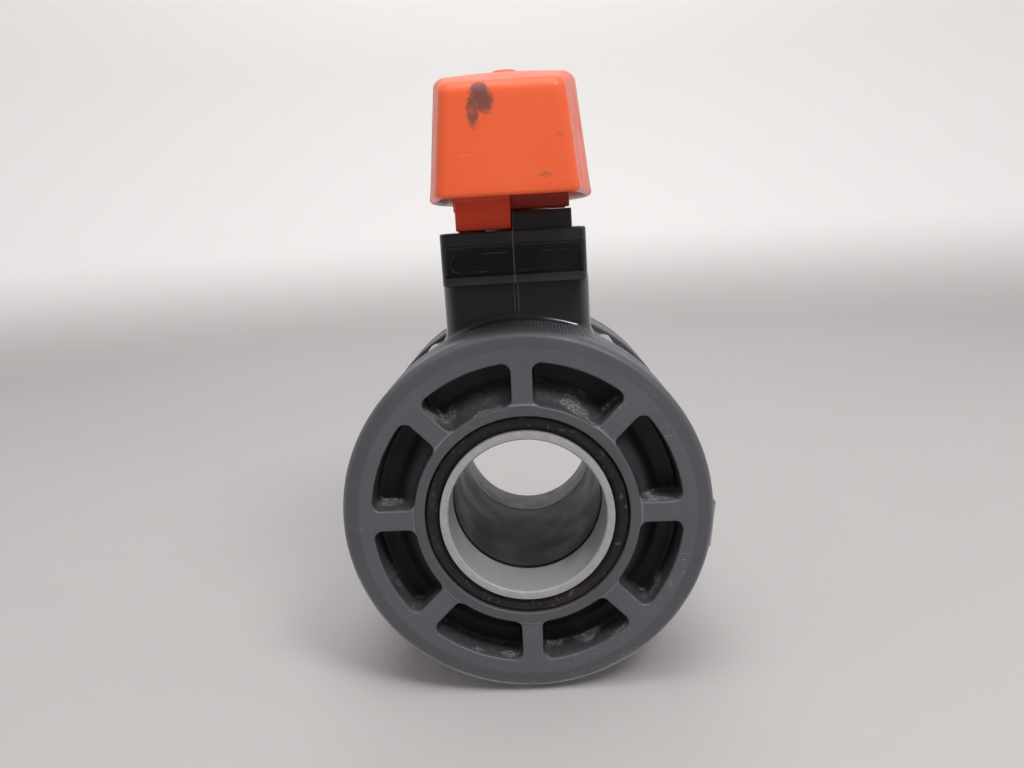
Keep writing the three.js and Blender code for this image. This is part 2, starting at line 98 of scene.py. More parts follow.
SLOT = {"half": 24.2, "height": 6.6, "depth": 0.6, "drop": 0.8}  # the panel sunk in each band
STOP = {
    "height": 7, "near": 15, "far": 22, "reach": 22.5, "corner": 0.8, "edge": 0.5,
    "closed_size": (12, 5), "closed_at": (-18, 24.3),
}
FOOT = {"width": 66, "depth": 36, "corner": 4, "edge": 0.8, "top": -46}
INSERT = {"radius": 5, "waist": 4.4, "hole": 3.3, "apart": 44, "depth": 12}
HANDLE = {
    "half": 74, "end_width": 45.8, "hub_width": 62.4, "bottom": 112.4, "end_top": 147.2,
    "crown": 157, "wall": 3, "draft": 5.9, "corner": 4, "least_corner": 0.6, "swell": 1.2,
    "rim": 1.4, "inner_edge": 1.5, "spine_end": 8, "dome": 0.7, "boss_radius": 14.5,
    "boss_bottom": 104.6, "cap_seat": 149.5, "cap_bore": 8.2,
}
SCREW = {
    "crest": 2.7, "root": 2.3, "pitch": 0.9, "clearance": 3.6, "head": 5.4, "head_height": 2.8,
    "cross": (5.6, 1.2),
}
WASHER = {"inner": 3.4, "outer": 7.4}
CAP = {"top": 161.7, "brim": 9.6, "dome": 5.4, "wall": 1.2}
FACE_SEAL = {"radius": 50.5, "section": 1.2, "groove": 3.2, "depth": 2.5, "sunk": 1.25}
CUSHION = {"radius": 34.9, "section": 1.05, "groove": 3.0, "depth": 2.4, "sunk": 1.2}
CARRIER_SEAL = {"radius": 46.4, "section": 0.9, "groove": 2.4, "room": 0.5, "at": 27}
STEM_SEAL = {"radius": 9.85, "section": 1.15, "groove": 3, "floor": 8.5}
ROUND = 192  # flats round a large turned surface
SMALL_ROUND = 96
FINE_ROUND = 240  # flats round the body's threads, and points round the neck
INSERT_ROUND = 64
CREASE = 32  # degrees between faces that meet in a sharp edge


# ---- Outlines -----------------------------------------------------------------------------------
def arc(centre, radius, start, end, steps):
    """Points along an arc, from one angle in degrees to the other."""
    angles = [math.radians(start + (end - start) * k / steps) for k in range(steps + 1)]
    return [(centre[0] + radius * math.cos(a), centre[1] + radius * math.sin(a)) for a in angles]


def rounded(corners, steps=6):
    """A closed outline of (x, y) or (x, y, radius) corners, each rounded to its radius."""
    outline = []
    for index, corner in enumerate(corners):
        here = Vector(corner[:2])
        radius = corner[2] if len(corner) > 2 else 0
        if radius <= 0:
            outline.append(tuple(here))
            continue
        before = (Vector(corners[index - 1][:2]) - here).normalized()
        after = (Vector(corners[(index + 1) % len(corners)][:2]) - here).normalized()
        half = math.acos(max(-1.0, min(1.0, before.dot(after)))) / 2
        centre = here + (before + after).normalized() * radius / math.sin(half)
        start = here + before * radius / math.tan(half) - centre
        end = here + after * radius / math.tan(half) - centre
        turn = math.atan2(start.x * end.y - start.y * end.x, start.dot(end))
        for step in range(steps + 1):
            outline.append(tuple(centre + Matrix.Rotation(turn * step / steps, 2) @ start))
    return outline


def rectangle(width, depth, corner, middle=(0, 0), steps=6):
    x, y, half, deep = *middle, width / 2, depth / 2
    ends = [(x - half, y - deep), (x + half, y - deep), (x + half, y + deep), (x - half, y + deep)]
    return rounded([(*end, corner) for end in ends], steps)


def between(a, b, share):
    return tuple(p + (q - p) * share for p, q in zip(a, b))


def resampled(points, count):
    """The same line cut into count even lengths; both of its ends are kept."""
    lengths = [0.0]
    for a, b in zip(points, points[1:]):
        lengths.append(lengths[-1] + math.dist(a, b))
    result, k = [], 0
    for step in range(count + 1):
        along = lengths[-1] * step / count
        while k < len(points) - 2 and lengths[k + 1] < along:
            k += 1
        share = (along - lengths[k]) / max(lengths[k + 1] - lengths[k], 1e-9)
        result.append(between(points[k], points[k + 1], min(share, 1.0)))
    return result


def resampled_loop(outline, count):
    return resampled([*outline, outline[0]], count)[:-1]


# ---- Meshes -------------------------------------------------------------------------------------
class Shape:
    """A mesh in the making: loops of points in millimetres, and the faces between them."""

    def __init__(self):
        self.points = []
        self.faces = []

    def loop(self, points):
        first = len(self.points)
        self.points.extend(points)
        return list(range(first, len(self.points)))

    def bridge(self, a, b):
        for k in range(len(a)):
            n = (k + 1) % len(a)
            self.faces.append((a[k], a[n], b[n], b[k]))

    def bridge_all(self, loops):
        for a, b in zip(loops, loops[1:]):
            self.bridge(a, b)

    def cap(self, loop):
        self.faces.append(tuple(loop))

    def mesh(self, name, scale=1.0, lift=0.0, turn=0.0, facing=True):
        """Points that meet are merged and every face is turned outward."""
        mesh = bpy.data.meshes.new(name)
        mesh.from_pydata(self.points, [], self.faces)
        build = bmesh.new()
        build.from_mesh(mesh)
        bmesh.ops.remove_doubles(build, verts=build.verts, dist=0.001)
        if facing:
            bmesh.ops.recalc_face_normals(build, faces=build.faces)
        build.transform(Matrix.Rotation(turn, 4, "Z"))
        build.transform(Matrix.Translation((0, 0, lift)))
        build.transform(Matrix.Scale(scale, 4))
        build.to_mesh(mesh)
        build.free()
        return mesh


def about_pipe(radius, out, angle):
    """A point at an angle clockwise from the top, as seen from the front."""
    return (radius * math.sin(angle), -out, radius * math.cos(angle))


def about_stem(radius, height, angle):
    return (radius * math.cos(angle), radius * math.sin(angle), height)


def turned(profile, place, sides=ROUND, closed=True):
    """A turned piece: profile is a closed line of (radius, distance along the axis) points."""
    shape = Shape()
    angles = [math.tau * k / sides for k in range(sides)]
    loops = [shape.loop([place(r, along, a) for a in angles]) for r, along in profile]
    shape.bridge_all([*loops, loops[0]] if closed else loops)
    return shape


def ring(corners):
    return turned(rounded(corners, 4), about_pipe)


def spindle(corners):
    """A turned piece on the stem axis, solid to its middle: both ends of the profile lie on it."""
    return turned(rounded(corners, 4), about_stem, SMALL_ROUND, closed=False)


def collar(corners, sides=SMALL_ROUND):
    """A turned piece about the stem axis, with a hole through it."""
    return turned(rounded(corners), about_stem, sides)


def torus(radius, section, at, place, sides=ROUND):
    return turned(arc((radius, at), section, 0, 345, 23), place, sides)


def stacked(sections):
    """A solid from level outlines: (height, outline) pairs with the same number of points."""
    shape = Shape()
    loops = [shape.loop([(x, y, height) for x, y in outline]) for height, outline in sections]
    shape.bridge_all(loops)
    shape.cap(loops[0])
    shape.cap(loops[-1])
    return shape


def block(width, depth, low, high, corner, edge=0.0, middle=(0, 0), steps=6):
    """An upright block with rounded corners, and its top and bottom edges rounded as well."""
    if not edge:
        outline = rectangle(width, depth, corner, middle, steps)
        return stacked([(low, outline), (high, outline)])
    sections = []
    for centre, start, end in ((low + edge, -90, 0), (high - edge, 0, 90)):
        for reach, height in arc((0, centre), edge, start, end, 4):
            inset = 2 * (edge - reach)
            radius = max(corner - inset / 2, 0.05)
            outline = rectangle(width - inset, depth - inset, radius, middle, steps)
            sections.append((height, outline))
    return stacked(sections)


def temporary(shape):
    """A Boolean operand, in millimetres."""
    made = bpy.data.objects.new("operand", shape.mesh("operand"))
    bpy.context.scene.collection.objects.link(made)
    return made


def combined(base, *changes):
    """base after each (operation, shape) in turn, as a Shape."""
    start = temporary(base)
    operands = []
    for operation, shape in changes:
        operand = temporary(shape)
        operands.append(operand)
        modifier = start.modifiers.new("change", "BOOLEAN")
        modifier.operation = operation
        modifier.object = operand
        modifier.solver = "EXACT"
    evaluated = start.evaluated_get(bpy.context.evaluated_depsgraph_get())
    mesh = evaluated.to_mesh()
    result = Shape()
    result.points = [tuple(v.co) for v in mesh.vertices]
    result.faces = [tuple(p.vertices) for p in mesh.polygons]
    evaluated.to_mesh_clear()
    for made in (start, *operands):
        data = made.data
        bpy.data.objects.remove(made)
        bpy.data.meshes.remove(data)
    return result


# ---- Union nut ----------------------------------------------------------------------------------
CELL = math.tau / NUT["ribs"]
OUTER_STEPS = 4 * GRIP["teeth_per_cell"]
INNER_STEPS = OUTER_STEPS // 4
SIDE_STEPS = 56


def polar(radius, turn):
    """A place on the nut's face, at an angle clockwise from the top."""
    return (radius * math.sin(turn), radius * math.cos(turn))


def half_pocket(inset):
    """The right half of a pocket with its middle at the top, cut in three at its corners."""
    outer, inner = NUT["pocket_outer"] - inset, NUT["pocket_inner"] + inset
    corner = max(NUT["corner"] - inset, NUT["least_corner"])
    side = NUT["rib"] / 2 + inset + corner
    half = CELL / 2
    wall = -math.degrees(half)
    steps, sweep_steps = 12, 16

    def swept(radius, start, end):
        turns = [start + (end - start) * k / sweep_steps for k in range(sweep_steps + 1)]
        return [polar(radius, turn) for turn in turns]

    outer_turn = half - math.asin(side / (outer - corner))
    inner_turn = half - math.asin(side / (inner + corner))
    start, end = 90 - math.degrees(outer_turn), -90 - math.degrees(inner_turn)
    top = arc(polar(outer - corner, outer_turn), corner, start, wall, steps)
    foot = arc(polar(inner + corner, inner_turn), corner, wall, end, steps)
    middle = steps // 2
    crown = swept(outer, 0, outer_turn) + top[1 : middle + 1]
    root = foot[middle:-1] + swept(inner, inner_turn, 0)
    return crown, top[middle:] + foot[: middle + 1], root


def pocket_outline(inset):
    """One pocket's outline: outer arc, right side, inner arc, left side, so that outlines with
    different insets match point for point."""

    def mirrored(line):
        return [(-x, z) for x, z in reversed(line)]

    crown, side, root = half_pocket(inset)
    runs = [
        resampled(mirrored(crown) + crown[1:], OUTER_STEPS), resampled(side, SIDE_STEPS),
        resampled(root + mirrored(root)[1:], INNER_STEPS), resampled(mirrored(side), SIDE_STEPS),
    ]
    return [point for run in runs for point in run[:-1]]


def cell_boundary(outer, inner):
    """The edge of one eighth of the face, matched point for point to a pocket's outline."""
    half = CELL / 2
    points = [polar(outer, -half + CELL * k / OUTER_STEPS) for k in range(OUTER_STEPS)]
    points += [polar(outer + (inner - outer) * k / SIDE_STEPS, half) for k in range(SIDE_STEPS)]
    points += [polar(inner, half - CELL * k / INNER_STEPS) for k in range(INNER_STEPS)]
    points += [polar(inner + (outer - inner) * k / SIDE_STEPS, -half) for k in range(SIDE_STEPS)]
    return points


def smooth_step(value, low, high):
    share = min(max((value - low) / (high - low), 0.0), 1.0)
    return share * share * (3 - 2 * share)


def hub_step(radius):
    """How far the ribs and the outer ring stand back from the hub's face."""
    return HUB["step"] * smooth_step(radius, HUB["radius"], HUB["radius"] + HUB["width"])


def floor_rise(radius):
    """The pocket's floor climbs towards the hub."""
    share = (HUB["slope_end"] - radius) / (HUB["slope_end"] - NUT["pocket_inner"])
    return HUB["rise"] * min(max(share, 0.0), 1.0) ** 1.6


def pocket_levels():
    """(points, height function) pairs from the cell's edge, over the lip and down to the floor."""
    lip, floor_edge, draft, rings = 0.6, 1.6, 0.35, 6
    floor = NUT["pocket_floor"]
    boundary = cell_boundary(NUT["face_radius"], NUT["bore"] + NUT["lip"])
    mouth = pocket_outline(-lip)
    levels = []
    for k in range(rings):
        share = k / rings
        blend = [between(a, b, share) for a, b in zip(boundary, mouth)]
        levels.append((blend, lambda r: FACE - hub_step(r)))
    for reach, out in arc((0, FACE - lip), lip, 90, 0, 4):
        levels.append((pocket_outline(reach - lip), lambda r, out=out: out - hub_step(r)))
    for inset, out in arc((draft + floor_edge, floor + floor_edge), floor_edge, 180, 270, 5):
        levels.append((pocket_outline(inset), lambda r, out=out: out + floor_rise(r)))
    for inset in (2.8, 3.8, 4.8, 5.8, 6.8, 7.4):
        levels.append((pocket_outline(inset), lambda r: floor + floor_rise(r)))
    return levels


def nut_cells(shape, clocking):
    """The nut's face, with its eight pockets between parallel-sided ribs."""
    levels = [
        [(x, z, height(math.hypot(x, z))) for x, z in points] for points, height in pocket_levels()
    ]
    for index in range(NUT["ribs"]):
        turn = (index + 0.5) * CELL + clocking
        cos, sin = math.cos(turn), math.sin(turn)
        loops = [
            shape.loop([(x * cos + z * sin, -out, z * cos - x * sin) for x, z, out in points])
            for points in levels
        ]
        shape.bridge_all(loops)
        shape.cap(loops[-1])


def grip_depth(column, out):
    """How far the serration cuts in at this column, fading out towards the rounded front edge."""
    tooth = (0.0, 0.5, 1.0, 0.5)[column % 4]
    fade = min(max((GRIP["front"] - out) / GRIP["run_out"], 0.0), 1.0)
    return GRIP["depth"] * tooth * fade


def nut_outer_radius(radius, out, column, columns):
    """The rim's radius, with the serration and the flat pad on one side."""
    turn = math.tau * column / columns
    away = abs(turn - math.radians(NUT["pad_angle"]))
    low, high = NUT["pad_ends"]
    if low <= out <= high and away < math.asin(NUT["pad_half"] / NUT["pad_radius"]):
        return NUT["pad_radius"] / math.cos(away)
    return radius - grip_depth(column, out)


def thread_cut(out, angle, depth):
    """The depth of a rounded screw thread at a place on its cylinder."""
    slope, crest = 1.6, 0.3
    phase = (out / THREAD["pitch"] + angle / math.tau) % 1.0
    return depth * min(1.0, max(0.0, slope * abs(2 * phase - 1) - crest))


def thread_rows(low, high):
    count = round((high - low) / THREAD["step"])
    return [low + (high - low) * k / count for k in range(count + 1)]


def nut_rim(shape, clocking):
    """From the edge of the face over the rounded edge and the grip to the rear face."""
    columns = OUTER_STEPS * NUT["ribs"]
    radius, lip, corner = NUT["radius"], NUT["lip"], NUT["rim_edge"]
    face = FACE - HUB["step"]
    rows = [(NUT["face_radius"], face), (NUT["face_radius"] + 0.15, face - 0.04)]
    rows += arc((radius - corner, face - NUT["edge"] + corner), corner, 68, 0, 8)
    # The side: rows at the pad's ends and just past them, where the grip fades, and between.
    low, high = NUT["pad_ends"]
    fade_end = GRIP["front"] - GRIP["run_out"]
    side = (high, high - 0.61, GRIP["front"], fade_end, 40, 34, low, low - 0.6, NUT["rear"] + lip)
    rows += [(radius, out) for out in side]
    rows += [(radius - lip, NUT["rear"])]
    loops = []
    for radius, out in rows:
        angles = [math.tau * k / columns for k in range(columns)]
        radii = [nut_outer_radius(radius, out, k, columns) for k in range(columns)]
        loops.append(shape.loop([about_pipe(r, out, a + clocking) for r, a in zip(radii, angles)]))
    shape.bridge_all(loops)
    return loops[-1]


def nut_inside(shape, clocking):
    """From the rear face through the thread, over the shoulder and out through the bore."""
    columns = INNER_STEPS * NUT["ribs"]
    angles = [math.tau * k / columns for k in range(columns)]
    bore, crest, shoulder, lip = NUT["bore"], NUT["thread"], NUT["shoulder"], NUT["lip"]
    cut, run_in = THREAD["depth"], THREAD["run_in"]
    rows = [(crest + cut + 0.4, NUT["rear"], 0)]
    rows += [(crest, out, cut) for out in thread_rows(NUT["rear"] + run_in, shoulder - run_in)]
    rows += [(crest, shoulder, 0), (bore, shoulder, 0), (bore, FACE - lip, 0)]
    rows += [(r, out, 0) for r, out in arc((bore + lip, FACE - lip), lip, 150, 90, 2)]
    loops = []
    for radius, out, depth in rows:
        radii = [radius + thread_cut(out, a + clocking, depth) for a in angles]
        loops.append(shape.loop([about_pipe(r, out, a + clocking) for r, a in zip(radii, angles)]))
    shape.bridge_all(loops)
    return loops[0]


def union_nut():
    shape = Shape()
    clocking = math.radians(NUT["clocking"])
    nut_cells(shape, clocking)
    outer = nut_rim(shape, clocking)
    inner = nut_inside(shape, clocking)
    share = OUTER_STEPS // INNER_STEPS
    for k in range(len(inner)):
        across = [outer[(share * k + j) % len(outer)] for j in range(share + 1)]
        shape.cap([*across, inner[(k + 1) % len(inner)], inner[k]])
    return shape


# ---- End pieces ---------------------------------------------------------------------------------
def pipe_stub():
    inner = PIPE_RADIUS - PIPE_WALL
    return ring([
        (inner, PIPE_END, 0.2), (PIPE_RADIUS, PIPE_END, 0.2), (PIPE_RADIUS, FACE, 0.15),
        (inner + 0.5, FACE, 0.1), (inner, FACE - 0.6, 0.3),
    ])


def end_connector():
    seal, half = FACE_SEAL["radius"], FACE_SEAL["groove"] / 2
    face, back = FLANGE["inner"], FLANGE["outer"]
    groove = face + FACE_SEAL["depth"]
    socket, mouth, wall = SOCKET["radius"], SOCKET["mouth"], SOCKET["wall"]
    way = socket - SOCKET["shoulder"]
    return ring([
        (way, SOCKET["nose"], 0.2), (way, SOCKET["bottom"]), (socket, SOCKET["bottom"]),
        (socket, mouth - 1.5, 0.3), (socket + 0.9, mouth - 0.4, 0.3),
        (socket + 1.3, mouth - 0.4, 0.2), (socket + 1.5, mouth, 0.2), (wall, mouth, 0.8),
        (wall, back, 0.3), (FLANGE["radius"], back, 0.6), (FLANGE["radius"], face, 0.4),
        (seal + half, face, 0.2), (seal + half, groove, 0.3), (seal - half, groove, 0.3),
        (seal - half, face, 0.2), (SOCKET["nose_wall"], face, 0.2),
        (SOCKET["nose_wall"], SOCKET["nose"], 0.3),
    ])


def face_seal():
    middle = FLANGE["inner"] + FACE_SEAL["sunk"]
    return torus(FACE_SEAL["radius"], FACE_SEAL["section"], middle, about_pipe)


# ---- Seats and their carrier --------------------------------------------------------------------
def on_sphere(radius):
    return (radius, math.sqrt((BALL["radius"] + GAP) ** 2 - radius**2))


def seat():
    centre, half = CUSHION["radius"], CUSHION["groove"] / 2
    back, floor = SEAT["back"], SEAT["back"] - CUSHION["depth"]
    lip = math.sqrt((BALL["radius"] + GAP) ** 2 - SEAT["front"] ** 2)
    face = [on_sphere(lip + (SEAT["inner"] - lip) * k / 12) for k in range(13)]
    return ring([
        *face, (SEAT["inner"], back, 0.3), (centre - half, back, 0.2),
        (centre - half, floor, 0.3), (centre + half, floor, 0.3), (centre + half, back, 0.2),
        (SEAT["outer"], back, 0.4), (SEAT["outer"], SEAT["front"], 0.3),
    ])


def cushion():
    return torus(CUSHION["radius"], CUSHION["section"], SEAT["back"] - CUSHION["sunk"], about_pipe)


def seat_carrier():
    half, at = CARRIER_SEAL["groove"] / 2, CARRIER_SEAL["at"]
    floor = CARRIER_SEAL["radius"] - CARRIER_SEAL["section"] - CARRIER_SEAL["room"]
    inside, radius, outer = SEAT["outer"] + GAP, CARRIER["radius"], CARRIER["outer"]
    blank = ring([
        (CARRIER["lip_radius"], CARRIER["lip"], 0.2), (CARRIER["lip_radius"], outer, 0.3),
        (radius, outer, 0.5), (radius, at + half, 0.2), (floor, at + half, 0.2),
        (floor, at - half, 0.2), (radius, at - half, 0.2), (radius, CARRIER["inner"], 0.5),
        (inside, CARRIER["inner"], 0.3), (inside, CARRIER["lip"]),
    ])
    deep = CARRIER["notch_depth"]
    notches = [
        block(*CARRIER["notch"], -deep, deep, 0.3, 0, (side * CARRIER["notch_at"], -outer))
        for side in (-1, 1)
    ]
    return combined(blank, *(("DIFFERENCE", notch) for notch in notches))


def carrier_seal():
    return torus(CARRIER_SEAL["radius"], CARRIER_SEAL["section"], CARRIER_SEAL["at"], about_pipe)


# ---- Ball and stem ------------------------------------------------------------------------------
def ball():
    rim = math.degrees(math.asin(BORE / BALL["radius"]))
    sphere = arc((0, 0), BALL["radius"], 90 - rim, rim - 90, 48)
    edge = sphere[0][1]
    bore_lip = 0.5
    profile = [*sphere[1:-1], (BORE, bore_lip - edge), (BORE, edge - bore_lip)]
    blank = turned(profile, about_pipe)
    slot = block(
        BALL["slot_length"], BALL["slot_width"], BALL["slot_floor"], BALL["radius"] + 2, 0.8, 0
    )
    return combined(blank, ("DIFFERENCE", slot))


def stem():
    radius, top = STEM["radius"], STEM["top"]
    half, floor = STEM_SEAL["groove"] / 2, STEM_SEAL["floor"]
    grooves = []
    for height in STEM["grooves"]:
        grooves += [
            (radius, height - half, 0.15), (floor, height - half, 0.2),
            (floor, height + half, 0.2), (radius, height + half, 0.15),
        ]
    shaft = spindle([
        (0, STEM["collar_bottom"]), (STEM["collar"], STEM["collar_bottom"], 0.4),
        (STEM["collar"], STEM["collar_top"], 0.4), (radius, STEM["collar_top"]), *grooves,
        (radius, STEM["round_top"], 0.6), (0, STEM["round_top"]),
    ])
    tang = block(
        STEM["tang_length"], STEM["tang_width"], STEM["tang_bottom"], STEM["collar_bottom"] + 1,
        0.6, 0.3,
    )
    drive = block(STEM["square"], STEM["square"], STEM["round_top"] - 1, top, 1, 0.6)
    hole = spindle([
        (0, top - STEM["hole_depth"]), (STEM["screw_hole"], top - STEM["hole_depth"]),
        (STEM["screw_hole"], top + 1), (0, top + 1),
    ])
    return combined(shaft, ("UNION", tang), ("UNION", drive), ("DIFFERENCE", hole))


def stem_seal(height):
    return torus(STEM_SEAL["radius"], STEM_SEAL["section"], height, about_stem, SMALL_ROUND)


def thrust_washer():
    low, high = STEM["collar_top"] + GAP, STEM["collar_top"] + 1.8
    inner, outer = STEM["radius"] + GAP, STEM["collar"]
    return collar([(inner, low, 0.2), (outer, low, 0.2), (outer, high, 0.2), (inner, high, 0.2)])


# ---- Valve body ---------------------------------------------------------------------------------
def body_barrel():
    """The barrel, with a screw thread for a union nut at each end."""
    edge, crest, end, half = 1.2, BARREL["thread"], BARREL["end"], BARREL["half"]
    first, last = half + THREAD["run_in"], end - 1.0
    rows = [(0, end, 0), (crest - THREAD["depth"], end, 0)]
    rows += [(crest, out, THREAD["depth"]) for out in reversed(thread_rows(first, last))]
    rows += [(crest, half, 0), (BARREL["radius"] - edge, half, 0)]
    rows += [(r, out, 0) for r, out in arc((BARREL["radius"] - edge, half - edge), edge, 60, 0, 3)]
    angles = [math.tau * k / FINE_ROUND for k in range(FINE_ROUND)]
    shape = Shape()
    loops = []
    # The rear end is the front one turned half round the stem.
    for side, order in ((1, rows), (-1, rows[::-1])):
        for radius, out, depth in order:
            radii = [radius - thread_cut(out, side * a, depth) for a in angles]
            points = [about_pipe(r, side * out, a) for r, a in zip(radii, angles)]
            loops.append(shape.loop(points))
    shape.bridge_all(loops)
    return shape


def body_column():
    """The neck: it widens across the pipe at its foot, and runs out to the saddle with a fillet."""
    plan = rectangle(COLUMN["width"], COLUMN["depth"], COLUMN["corner"], steps=10)
    base = resampled_loop(plan, FINE_ROUND)
    # The fillet ends just short of the barrel's end faces, so that no two faces coincide.
    shallow, deep = COLUMN["depth"] / 2, BARREL["half"] - 0.05
    fillet = deep - shallow
    flare = COLUMN["flare_radius"]
    low, high = COLUMN["bottom"], BLOCK["bottom"] + 1
    count = 60
    sections = []
    for k in range(count + 1):
        height = low + (high - low) * k / count
        drop = min(max(COLUMN["flare_start"] - height, 0), flare)
        widening = (flare - math.sqrt(flare**2 - drop**2)) / (COLUMN["width"] / 2)
        outline = []
        for x, y in base:
            wide = x * (1 + widening)
            above = math.hypot(wide, height) - COLUMN["saddle"]
            bend = min(max(fillet - above, 0), fillet)
            spread = (shallow + fillet - math.sqrt(fillet**2 - bend**2)) / shallow
            outline.append((wide, y * spread))
        sections.append((height, outline))
    return stacked(sections)


def block_bands():
    """The sunk band across the front and the rear of the block, and the panel sunk in each."""
    cuts = []
    front, recess = BLOCK["depth"] / 2, BLOCK["recess"]
    low, high = BAND["bottom"], BAND["top"]
    width = BLOCK["width"] - 2 * BAND["side"]
    middle = (0, (low + high) / 2 - SLOT["drop"])
    # The panel's ends are a hair less than half round, so that its corners don't meet.
    panel = rectangle(2 * SLOT["half"], SLOT["height"], SLOT["height"] / 2 - 0.05, middle, 12)
    for side in (-1, 1):
        at = (0, side * front)
        cuts.append(block(width, 2 * recess, low, high, BAND["corner"], BAND["edge"], at))
        shape = Shape()
        loops = [
            shape.loop([(x, side * depth, z) for x, z in panel])
            for depth in (front - recess - SLOT["depth"], front)
        ]
        shape.bridge(*loops)
        shape.cap(loops[0])
        shape.cap(loops[1])
        cuts.append(shape)
    return cuts


def parting_lines():
    """The mould's parting line, a fine ridge down the front and the rear, double on the neck."""
    proud, wide, narrow = FLASH["proud"], FLASH["width"], FLASH["neck_width"]
    front, neck = BLOCK["depth"] / 2, COLUMN["depth"] / 2
    sunk = front - BLOCK["recess"] - SLOT["depth"]
    neck_ends = (COLUMN["saddle"] + 3, BLOCK["bottom"] + 0.4)
    lines = [
        (wide, proud, (BAND["top"] - 0.8, BLOCK["top"] - 0.8), 0.12, 0, front),
        (wide, proud + SLOT["depth"], (BAND["bottom"] + 0.8, BAND["top"] - 0.9), 0.12, 0, sunk),
        (narrow, proud, neck_ends, 0.1, -FLASH["apart"], neck),
        (narrow, proud, neck_ends, 0.1, FLASH["apart"], neck),
    ]
    return [
        block(width, 2 * reach, *ends, corner, 0, (across, side * out))
        for side in (-1, 1)
        for width, reach, ends, corner, across, out in lines
    ]


def body_stops():
    """Two upstands: the handle's lug rests on the first when open, the second when closed."""
    levels = (BLOCK["top"] - 1, BLOCK["top"] + STOP["height"], STOP["corner"], STOP["edge"])
    middle = (STOP["near"] + STOP["far"]) / 2
    return [
        block(STOP["reach"], STOP["far"] - STOP["near"], *levels, (STOP["reach"] / 2, -middle)),
        block(*STOP["closed_size"], *levels, STOP["closed_at"]),
    ]


def in_foot(shape, side):
    """The same shape, moved to the left (-1) or right (1) insert's place."""
    shape.points = [(x + side * INSERT["apart"] / 2, y, z) for x, y, z in shape.points]
    return shape


def body_hollows():
    """The ball's chamber, the seat pocket, the stem's passage and the holes for the inserts."""
    pocket, behind, past_end = SEAT["outer"] + GAP, SEAT["back"] + GAP, BARREL["end"] + 1
    bore, step, chamber = CARRIER["radius"] + GAP, CARRIER["inner"] - GAP, 1 - SEAT["front"]
    cavity = turned([
        (0, past_end), (bore, past_end), (bore, step), (BARREL["cavity"], step),
        (BARREL["cavity"], chamber), (pocket, chamber), (pocket, -behind),
        (CARRIER["lip_radius"], -behind), (CARRIER["lip_radius"], -past_end), (0, -past_end),
    ], about_pipe, ROUND, closed=False)
    wide, narrow = STEM["collar"] + 2 * GAP, STEM["radius"] + GAP
    shelf, top = STEM["collar_top"] + 2.1, BLOCK["top"] + 1
    passage = turned([
        (0, BORE), (wide, BORE), (wide, shelf), (narrow, shelf), (narrow, top), (0, top),
    ], about_stem, SMALL_ROUND, closed=False)
    radius, depth = INSERT["radius"] + GAP, INSERT["depth"] + GAP
    low, floor = -AXIS_HEIGHT - 1, depth - AXIS_HEIGHT
    hole = [(0, low), (radius, low), (radius, floor), (0, floor)]
    holes = [
        in_foot(turned(hole, about_stem, INSERT_ROUND, closed=False), side) for side in (-1, 1)
    ]
    return [cavity, passage, *holes]


def valve_body():
    top_block = block(
        BLOCK["width"], BLOCK["depth"], BLOCK["bottom"], BLOCK["top"], BLOCK["corner"],
        BLOCK["edge"], steps=8,
    )
    foot = block(
        FOOT["width"], FOOT["depth"], -AXIS_HEIGHT, FOOT["top"], FOOT["corner"], FOOT["edge"],
        steps=8,
    )
    return combined(
        body_barrel(),
        *(("UNION", part) for part in (body_column(), top_block, foot, *body_stops())),
        *(("DIFFERENCE", cut) for cut in block_bands()),
        *(("UNION", ridge) for ridge in parting_lines()),
        *(("DIFFERENCE", cut) for cut in body_hollows()),
    )


def foot_insert(side):
    """A brass insert with a grooved outside, flush in the foot."""
    radius, waist, hole = INSERT["radius"], INSERT["waist"], INSERT["hole"]
    low, high = 0.2 - AXIS_HEIGHT, INSERT["depth"] - AXIS_HEIGHT
    middle = (low + high) / 2
    corners = [
        (hole, low + 0.4), (hole + 0.4, low), (radius, low, 0.2), (radius, middle - 1),
        (waist, middle - 0.6), (waist, middle + 0.6), (radius, middle + 1), (radius, high, 0.3),
        (hole, high, 0.2),
    ]
    return in_foot(collar(corners, INSERT_ROUND), side)


# ---- Handle -------------------------------------------------------------------------------------
HANDLE_STEPS = 40
DRAFT = math.tan(math.radians(HANDLE["draft"]))


def handle_plan(inset, lift):
    """The outline at a height above the handle's rim, moved in by an inset, as the sides draft."""
    half = HANDLE["half"] - inset
    narrowing = inset + DRAFT * lift
    end_half = HANDLE["end_width"] / 2 - narrowing
    hub_half = HANDLE["hub_width"] / 2 - narrowing
    corner = max(HANDLE["corner"] - inset / 2, HANDLE["least_corner"])
    right = []
    for step in range(HANDLE_STEPS + 1):
        along = -half + 2 * half * step / HANDLE_STEPS
        swell = max(math.cos(math.pi / 2 * along / half), 0.0) ** HANDLE["swell"]
        radius = corner if step in (0, HANDLE_STEPS) else 0
        right.append((end_half + (hub_half - end_half) * swell, along, radius))
    return rounded([*right, *((-x, y, radius) for x, y, radius in reversed(right))], 8)


def crown_lift(along, inset):
    """How far the crown stands above the handle's ends at a distance along it."""
    half = HANDLE["half"] - inset
    return (HANDLE["crown"] - HANDLE["end_top"]) * (1 - min(abs(along) / half, 1.0) ** 2)


def crown_loop(shape, plan, inset, height, share=1.0, rise=0.0):
    """A loop of the shell that follows the crown, in full or by a share of it."""
    points = []
    for x, y in plan:
        lift = share * crown_lift(y, inset)
        points.append((narrowed(x, lift), y, height + lift + rise))
    return shape.loop(points)


